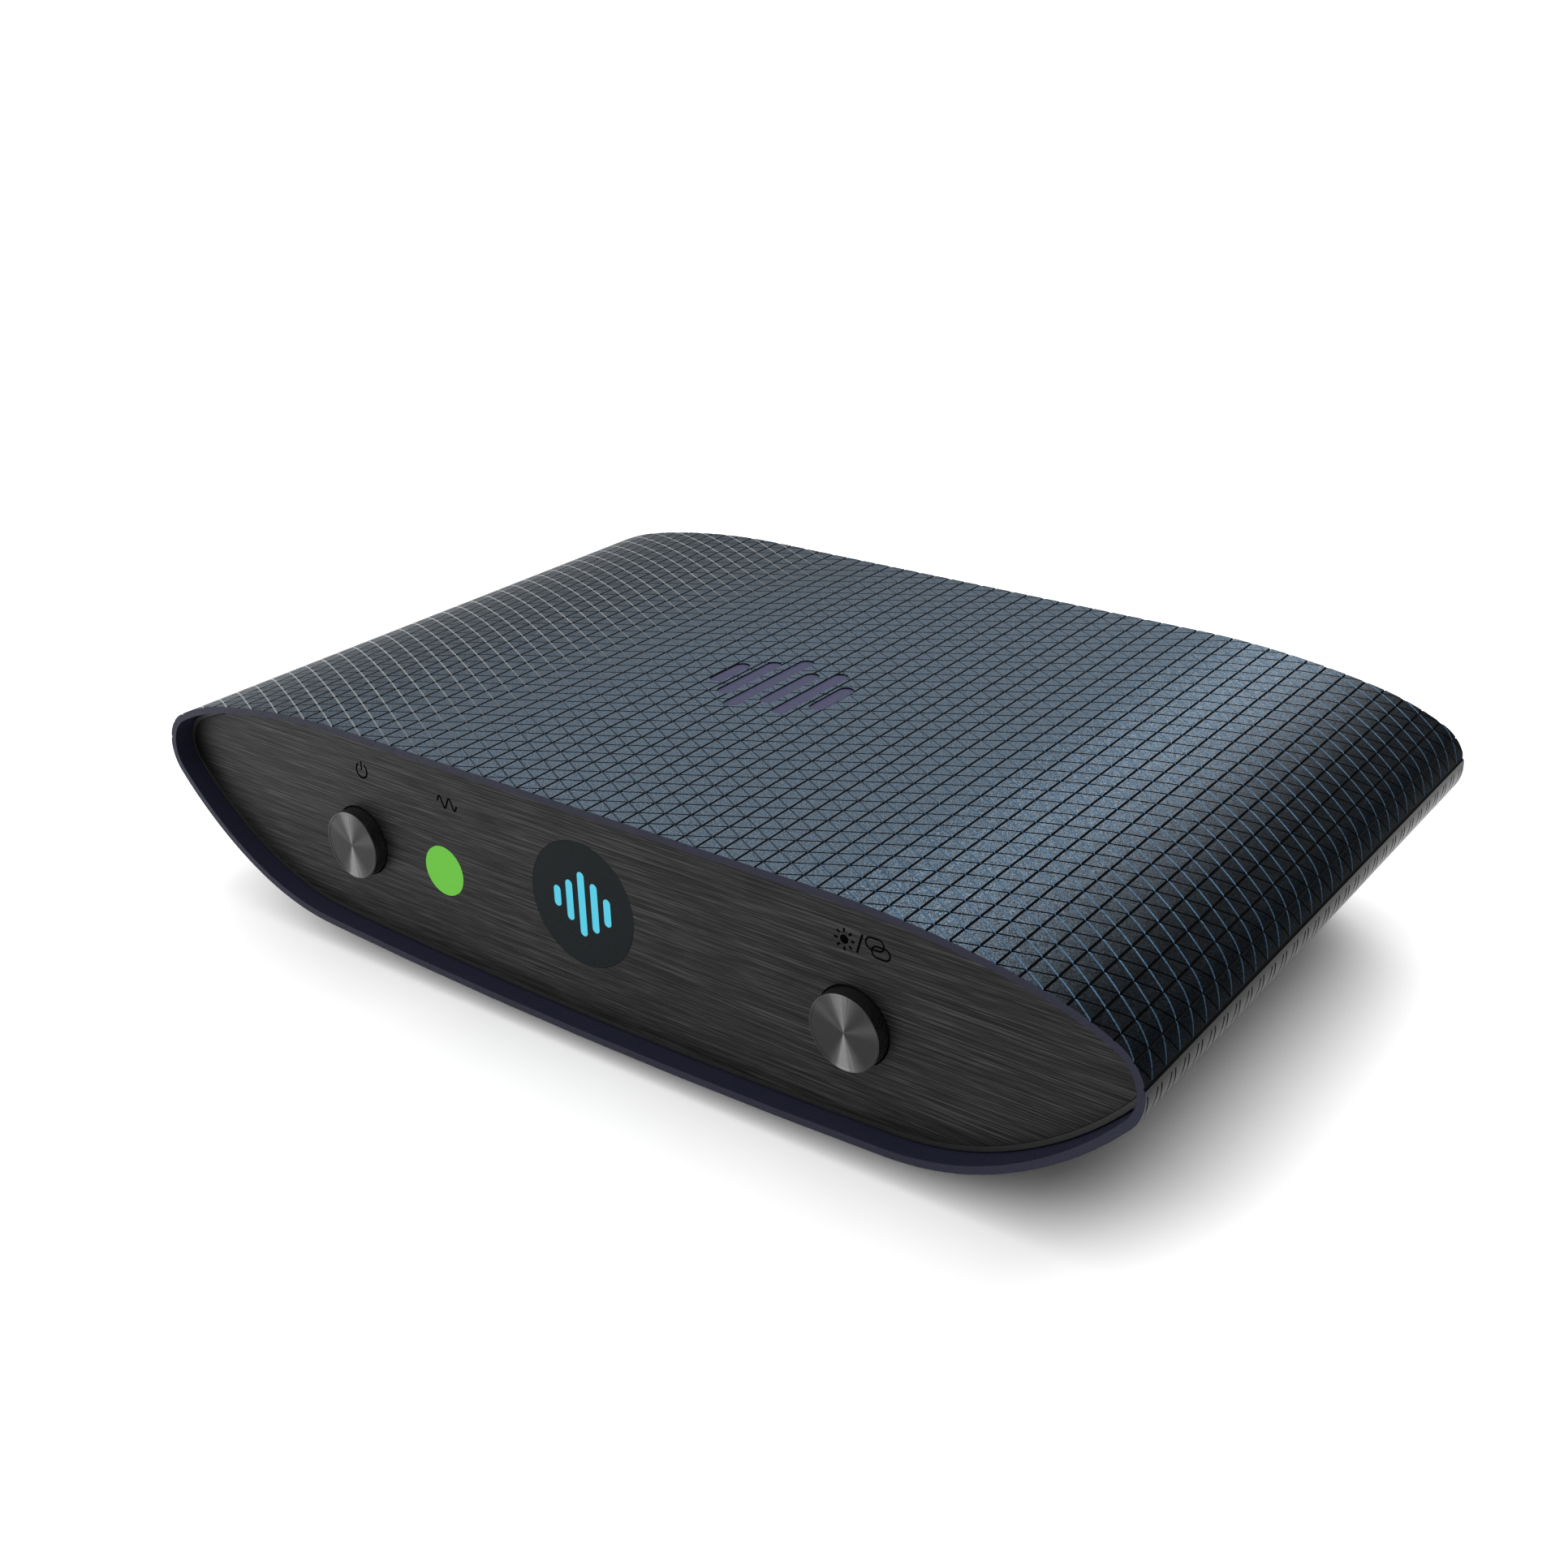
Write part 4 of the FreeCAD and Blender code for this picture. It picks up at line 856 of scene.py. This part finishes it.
class OBJECT_OT_converter_buttons(bpy.types.Operator):
    """Turn the two push caps, each with a rounded rim, a slightly sunk spun face and a collar behind"""
    bl_idname = "object.converter_buttons"
    bl_label = "Push buttons"
    cap_radius = 4.85 * MM
    rim = 0.28 * MM
    step = 0.12 * MM
    sunk = 0.06 * MM
    face_ring = 2.6 * MM
    collar_radius = 5.9 * MM
    collar_deep = 1.0 * MM

    def execute(self, context):
        for name, body in (("power_button", "power_key"), ("pair_button", "pair_key")):
            low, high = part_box(name)
            centre = Vector(((low.x + high.x) / 2, low.y, (low.z + high.z) / 2))
            cap = add_disc(f"{name}_cap", centre, self.cap_radius, high.y - low.y - self.collar_deep, 128)
            edit(cap)
            pick_faces(cap, lambda face: face.normal.y < -0.9)
            bpy.ops.mesh.inset(thickness=self.rim)
            bpy.ops.mesh.inset(thickness=self.step)
            bpy.ops.transform.translate(value=(0, self.sunk, 0))
            bpy.ops.mesh.inset(thickness=self.face_ring)
            bevel(cap, 0.14 * MM, degrees=60)
            select_only(cap)
            bpy.ops.object.modifier_apply(modifier="rounding")
            seat = centre.x, high.y - self.collar_deep, centre.z
            collar = add_disc(f"{name}_collar", seat, self.collar_radius, self.collar_deep)
            bevel(collar, 0.1 * MM)
            bpy.ops.object.modifier_apply(modifier="rounding")
            made = join(f"{name}_turned", [cap, collar])
            side = black_satin(f"{name}_side", base=0.0045, rough=0.3)
            coat(made, side, turned_face(f"{name}_face", centre))
            for face in made.data.polygons:
                middle = Vector(face.center) - centre
                within = math.hypot(middle.x, middle.z) < self.cap_radius - 0.1 * MM
                if within and face.normal.y < -0.5 and middle.y < 0.5 * MM:
                    face.material_index = 1
            finish_piece(made, body, smooth=20)
            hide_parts(name)
        return {"FINISHED"}


def stroke(name, points, width, closed=False):
    """A flattened printed line on the front plate, through points given as x and z."""
    deselect()
    line = bpy.data.curves.new(name, "CURVE")
    line.dimensions = "3D"
    line.bevel_depth = width / 2
    line.bevel_resolution = 2
    line.use_fill_caps = True
    spline = line.splines.new("POLY")
    spline.points.add(len(points) - 1)
    for point, (x, z) in zip(spline.points, points):
        point.co = (x, 0, z, 1)
    spline.use_cyclic_u = closed
    made = bpy.data.objects.new(name, line)
    bpy.context.scene.collection.objects.link(made)
    made.select_set(True)
    bpy.context.view_layer.objects.active = made
    bpy.ops.object.convert(target="MESH")
    made = bpy.context.object
    proud = 0.03 * MM
    made.scale.y = proud / (width / 2)
    made.location.y = PLATE_FACE
    bpy.ops.object.transform_apply(location=True, rotation=True, scale=True)
    return made


def arc_points(x, z, radius, start, end, count=28):
    """Points along an arc between two angles in degrees."""
    turns = [math.radians(start + (end - start) * number / count) for number in range(count + 1)]
    return [(x + radius * math.cos(turn), z + radius * math.sin(turn)) for turn in turns]


def link_outline(x, z, half_long=0.5 * MM, radius=0.72 * MM):
    """A round-ended chain link."""
    points = []
    for side in (1, -1):
        for across, up in arc_points(0, 0, radius, -90, 90, 12):
            points.append((x + side * (across + half_long), z + side * up))
    return points


class OBJECT_OT_converter_prints(bpy.types.Operator):
    """Print the generic signs on the front plate: power, sine wave, sun, slash and chain link"""
    bl_idname = "object.converter_prints"
    bl_label = "Printed signs"

    def execute(self, context):
        black = black_satin("print_black", base=0.0008, rough=0.8, IOR=1.05)
        thin = 0.3 * MM
        fine = 0.24 * MM
        x, z = -39.8 * MM, MIDDLE_Z + 9.2 * MM
        power = [stroke("power_ring", arc_points(x, z, 1.05 * MM, 122, 418), thin),
                 stroke("power_bar", [(x, z + 0.05 * MM), (x, z + 1.35 * MM)], thin)]
        x, z = -23.3 * MM, MIDDLE_Z + 8.7 * MM
        wave = [(x + (number / 20 - 1) * 1.8 * MM, z + 0.75 * MM * math.sin(number / 40 * 4 * math.pi))
                for number in range(41)]
        sine = [stroke("sine_line", wave, thin)]
        x, z = 40.4 * MM, MIDDLE_Z + 9.1 * MM
        sun = [stroke("sun_core", arc_points(x, z, 0.28 * MM, 0, 360, 20)[:-1], 0.6 * MM, True)]
        for number in range(8):
            turn = math.radians(45 * number)
            ray = [(x + reach * math.cos(turn), z + reach * math.sin(turn))
                   for reach in (0.92 * MM, 1.4 * MM)]
            sun.append(stroke(f"sun_ray_{number}", ray, thin))
        x, z = 42.5 * MM, MIDDLE_Z + 9.2 * MM
        slash = [stroke("slash_line", [(x - 0.4 * MM, z - 1.25 * MM), (x + 0.4 * MM, z + 1.25 * MM)], thin)]
        x, z = 44.9 * MM, MIDDLE_Z + 9.3 * MM
        chain = [stroke("link_high", link_outline(x - 0.35 * MM, z + 0.45 * MM), fine, True),
                 stroke("link_low", link_outline(x + 0.45 * MM, z - 0.45 * MM), fine, True)]
        for name, parts in (("power_sign", power), ("rate_sign", sine), ("light_sign", sun),
                            ("slash_sign", slash), ("pairing_sign", chain)):
            made = join(name, parts)
            coat(made, black)
            finish_piece(made, "casing")
        return {"FINISHED"}


class OBJECT_OT_converter_front(bpy.types.Operator):
    """Finish the front plate, its carrier, the lamp and the window"""
    bl_idname = "object.converter_front"
    bl_label = "Front finishes"

    def execute(self, context):
        dress("front_plate", brushed_plate())
        dress("front_carrier", black_satin("carrier_black", base=0.0055, rough=0.5))
        dress("display_window", smoked_glass())
        dress("display_mark", glowing("mark_light", tuple(colours().mark)))
        dress("status_lens", glowing("lamp_light", tuple(colours().lamp)))
        inlay = tuple(colours().inlay)
        dress("top_inlay", toned("inlay_purple", tuple(part * 0.9 for part in inlay), inlay, 0.5,
                                 scale=5200.0, Specular_IOR_Level=0.2))
        return {"FINISHED"}


# ---- inside and rear --------------------------------------------------------------------------------------

class OBJECT_OT_converter_inside(bpy.types.Operator):
    """Finish the boards, chips, screws and sockets"""
    bl_idname = "object.converter_inside"
    bl_label = "Inside and sockets"

    def execute(self, context):
        chip = toned("chip_black", (0.006, 0.006, 0.007), (0.012, 0.012, 0.013), 0.55)
        black = black_satin("socket_black", base=0.008, rough=0.45)
        white = toned("moulded_white", (0.62, 0.62, 0.6), (0.72, 0.72, 0.7), 0.45)
        red = toned("moulded_red", (0.42, 0.012, 0.01), (0.52, 0.018, 0.014), 0.4)
        gold = toned("gold_plate", (0.72, 0.46, 0.13), (0.86, 0.6, 0.22), 0.24, 1.0, 2600.0, 0.08)
        nickel = toned("nickel_plate", (0.3, 0.3, 0.295), (0.38, 0.38, 0.37), 0.34, 1.0, 900.0, 0.03)
        steel = toned("blackened_steel", (0.02, 0.02, 0.022), (0.05, 0.05, 0.052), 0.38, 0.9, 3400.0)
        phosphor = toned("lamp_phosphor", (0.6, 0.5, 0.12), (0.8, 0.7, 0.2), 0.4)
        ribbon = toned("ribbon_grey", (0.3, 0.3, 0.3), (0.42, 0.42, 0.42), 0.5)
        can_sleeve = toned("can_sleeve", (0.01, 0.012, 0.02), (0.03, 0.034, 0.05), 0.35)
        rear = toned("rear_blasted", (0.012, 0.013, 0.018), (0.022, 0.023, 0.03), 0.5, 0.3, 7800.0, 0.25)
        rubber = toned("foot_rubber", (0.008, 0.008, 0.008), (0.016, 0.016, 0.016), 0.8, 0.0, 2200.0, 0.3)
        board = board_mask()
        groups = (
            (chip, ("audio_converter_chip", "input_processor_chip", "power_inductor")),
            (black, ("power_switch", "pair_switch", "power_inlet_body", "balanced_output_body",
                     "optical_input_body", "optical_input_shutter", "data_socket_tongue", "antenna_lead",
                     "left_output_housing", "right_output_housing", "coax_input_housing",
                     "coax_input_insulator")),
            (white, ("power_plunger", "pair_plunger", "display_diffuser", "front_ribbon_socket",
                     "main_ribbon_socket", "left_output_insulator")),
            (red, ("right_output_insulator",)),
            (gold, ("left_output_shell", "right_output_shell", "coax_input_shell", "phono_contacts",
                    "balanced_output_nut", "antenna_base")),
            (nickel, ("data_socket_shell", "power_inlet_pin", "antenna_nut", "wireless_shield",
                      "clock_crystals", "selector_case", "antenna_pin", "front_board_screws")),
            (steel, ("front_screws", "rear_screws")),
            (phosphor, ("display_leds", "status_led")),
            (ribbon, ("ribbon_cable",)),
            (can_sleeve, ("filter_capacitors",)),
            (rear, ("rear_plate",)),
            (rubber, ("feet",)),
            (board, ("front_board", "main_board", "wireless_module")),
        )
        for material, nodes in groups:
            for node in nodes:
                dress(node, material)
        return {"FINISHED"}


class OBJECT_OT_converter_antenna(bpy.types.Operator):
    """Mould the folding antenna: a rounded blade with a forked end on a ribbed knuckle"""
    bl_idname = "object.converter_antenna"
    bl_label = "Antenna"

    def execute(self, context):
        plastic = black_satin("antenna_plastic", base=0.008, rough=0.5, grain=3600.0)
        blade = copy_of("antenna_blade", "antenna_blade_moulding")
        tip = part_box("antenna_blade")[0].x + 0.1 * MM
        edit(blade)
        pick_edges(blade, lambda edge: edge.calc_length() > 20 * MM
                   or all(vert.co.x < tip for vert in edge.verts))
        bpy.ops.mesh.bevel(offset=0.8 * MM, segments=4, affect="EDGES", clamp_overlap=True)
        bpy.ops.object.mode_set(mode="OBJECT")
        coat(blade, plastic)
        finish_piece(blade, "antenna_arm")
        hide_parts("antenna_blade")
        knuckle = copy_of("antenna_knuckle", "antenna_knuckle_moulding")
        bevel(knuckle, 0.15 * MM, segments=2, degrees=50)
        coat(knuckle, plastic)
        finish_piece(knuckle, "antenna_swivel")
        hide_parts("antenna_knuckle")
        return {"FINISHED"}


def copy_of(node, name):
    """A merged copy of a CAD node's mesh as a new piece."""
    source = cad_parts[node]
    made = bpy.data.objects.new(name, source.data.copy())
    bpy.context.scene.collection.objects.link(made)
    edit(made)
    bpy.ops.mesh.select_all(action="SELECT")
    bpy.ops.mesh.remove_doubles(threshold=0.000005)
    bpy.ops.mesh.dissolve_limited(angle_limit=math.radians(1))
    bpy.ops.object.mode_set(mode="OBJECT")
    return made


class OBJECT_OT_converter_selector(bpy.types.Operator):
    """Shape the slide switch's knob with finger ridges"""
    bl_idname = "object.converter_selector"
    bl_label = "Slide switch knob"

    def execute(self, context):
        knob = copy_of("selector_knob", "selector_knob_ridged")
        edit(knob)
        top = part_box("selector_knob")[1].y
        pick_faces(knob, lambda face: face.normal.y > 0.9
                   and abs(face.calc_center_median().y - top) < 0.1 * MM)
        bpy.ops.mesh.inset(thickness=0.3 * MM)
        bpy.ops.mesh.inset(thickness=0.15 * MM, depth=-0.3 * MM)
        bpy.ops.object.mode_set(mode="OBJECT")
        bevel(knob, 0.08 * MM, segments=2, degrees=50)
        coat(knob, black_satin("knob_plastic", base=0.01, rough=0.5))
        finish_piece(knob, "selector")
        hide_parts("selector_knob")
        return {"FINISHED"}


# ---- stage ------------------------------------------------------------------------------------------------

class OBJECT_OT_converter_stage(bpy.types.Operator):
    """Set the pale floor and backdrop, the soft lights and the camera"""
    bl_idname = "object.converter_stage"
    bl_label = "Studio"

    def execute(self, context):
        deselect()
        bpy.ops.mesh.primitive_plane_add(size=40)
        floor = named("floor")
        coat(floor, toned("paper_floor", (0.94, 0.94, 0.94), (0.96, 0.96, 0.96), 0.8, scale=40.0, bump=0.0))
        self.light("rear_soft", (0.12, 0.62, 0.55), (0.03, 0.0, 0.02), (0.6, 0.35), 5.0)
        self.light("front_soft", (-0.45, -0.8, 0.45), (0.0, -0.05, 0.02), (0.6, 0.5), 2.5)
        self.overhead(context.scene, energy=3.3, spread=110, towards=(-0.3, -0.15, 1))
        self.surroundings(context.scene, strength=0.3)
        self.camera(context.scene)
        return {"FINISHED"}

    def overhead(self, scene, energy, spread, towards):
        """A wide soft sun in a given direction."""
        overhead = bpy.data.lights.new("overhead", "SUN")
        overhead.energy = energy
        overhead.angle = math.radians(spread)
        made = bpy.data.objects.new("overhead", overhead)
        scene.collection.objects.link(made)
        made.rotation_euler = Vector(towards).to_track_quat("Z", "Y").to_euler()

    def surroundings(self, scene, strength):
        """Dim white light from all round, with a backdrop that the camera sees as full white."""
        world = bpy.data.worlds.new("studio")
        world.use_nodes = True
        nodes, links = world.node_tree.nodes, world.node_tree.links
        around = nodes["Background"]
        backdrop = nodes.new("ShaderNodeBackground")
        for background in (around, backdrop):
            background.inputs["Color"].default_value = (1, 1, 1, 1)
        around.inputs["Strength"].default_value = strength
        split = nodes.new("ShaderNodeMixShader")
        links.new(nodes.new("ShaderNodeLightPath").outputs["Is Camera Ray"], split.inputs["Fac"])
        links.new(around.outputs[0], split.inputs[1])
        links.new(backdrop.outputs[0], split.inputs[2])
        links.new(split.outputs[0], nodes["World Output"].inputs["Surface"])
        scene.world = world
        scene.view_settings.view_transform = "Standard"

    def camera(self, scene):
        """The camera, placed by its own right and up directions."""
        camera = bpy.data.objects.new("camera", bpy.data.cameras.new("camera"))
        scene.collection.objects.link(camera)
        camera.data.sensor_width = 36
        camera.data.lens = 43.62
        camera.data.shift_x = -0.0362
        camera.data.shift_y = -0.148
        camera.data.clip_start = 0.01
        place = Vector((0.15167, -0.19745, 0.13508))
        right = Vector((0.80845, 0.58802, -0.02517))
        up = Vector((-0.16675, 0.26986, 0.94835))
        turned = Matrix((right, up, right.cross(up))).transposed().to_4x4()
        camera.matrix_world = Matrix.Translation(place) @ turned
        scene.camera = camera

    def light(self, name, place, aim, size, power):
        """A rectangular soft light aimed at a point."""
        lamp = bpy.data.lights.new(name, "AREA")
        lamp.shape = "RECTANGLE"
        lamp.size, lamp.size_y = size
        lamp.energy = power
        made = bpy.data.objects.new(name, lamp)
        bpy.context.scene.collection.objects.link(made)
        made.location = place
        made.rotation_euler = (Vector(aim) - Vector(place)).to_track_quat("-Z", "Y").to_euler()


# ---- add-on -----------------------------------------------------------------------------------------------

OPERATORS = (
    OBJECT_OT_converter_stage,
    OBJECT_OT_converter_sleeve,
    OBJECT_OT_converter_front,
    OBJECT_OT_converter_buttons,
    OBJECT_OT_converter_prints,
    OBJECT_OT_converter_inside,
    OBJECT_OT_converter_antenna,
    OBJECT_OT_converter_selector,
)


class VIEW3D_PT_converter(bpy.types.Panel):
    """Lists the sizes and colours, and a button for each step that builds the pieces"""
    bl_idname = "VIEW3D_PT_converter"
    bl_label = "Desktop Converter"
    bl_space_type = "VIEW_3D"
    bl_region_type = "UI"
    bl_category = "Converter"

    def draw(self, context):
        for group in (context.scene.converter_sleeve, context.scene.converter_colours):
            column = self.layout.column()
            for name in group.__annotations__:
                column.prop(group, name)
        for operator in OPERATORS:
            self.layout.operator(operator.bl_idname)


CLASSES = (ConverterSleeveSizes, ConverterColours, *OPERATORS, VIEW3D_PT_converter)


def register():
    for each in CLASSES:
        bpy.utils.register_class(each)
    bpy.types.Scene.converter_sleeve = PointerProperty(type=ConverterSleeveSizes)
    bpy.types.Scene.converter_colours = PointerProperty(type=ConverterColours)


def unregister():
    del bpy.types.Scene.converter_colours
    del bpy.types.Scene.converter_sleeve
    for each in reversed(CLASSES):
        bpy.utils.unregister_class(each)


def main():
    register()
    for operator in OPERATORS:
        group, name = operator.bl_idname.split(".")
        getattr(getattr(bpy.ops, group), name)()
    deselect()


if __name__ == "__main__":
    main()
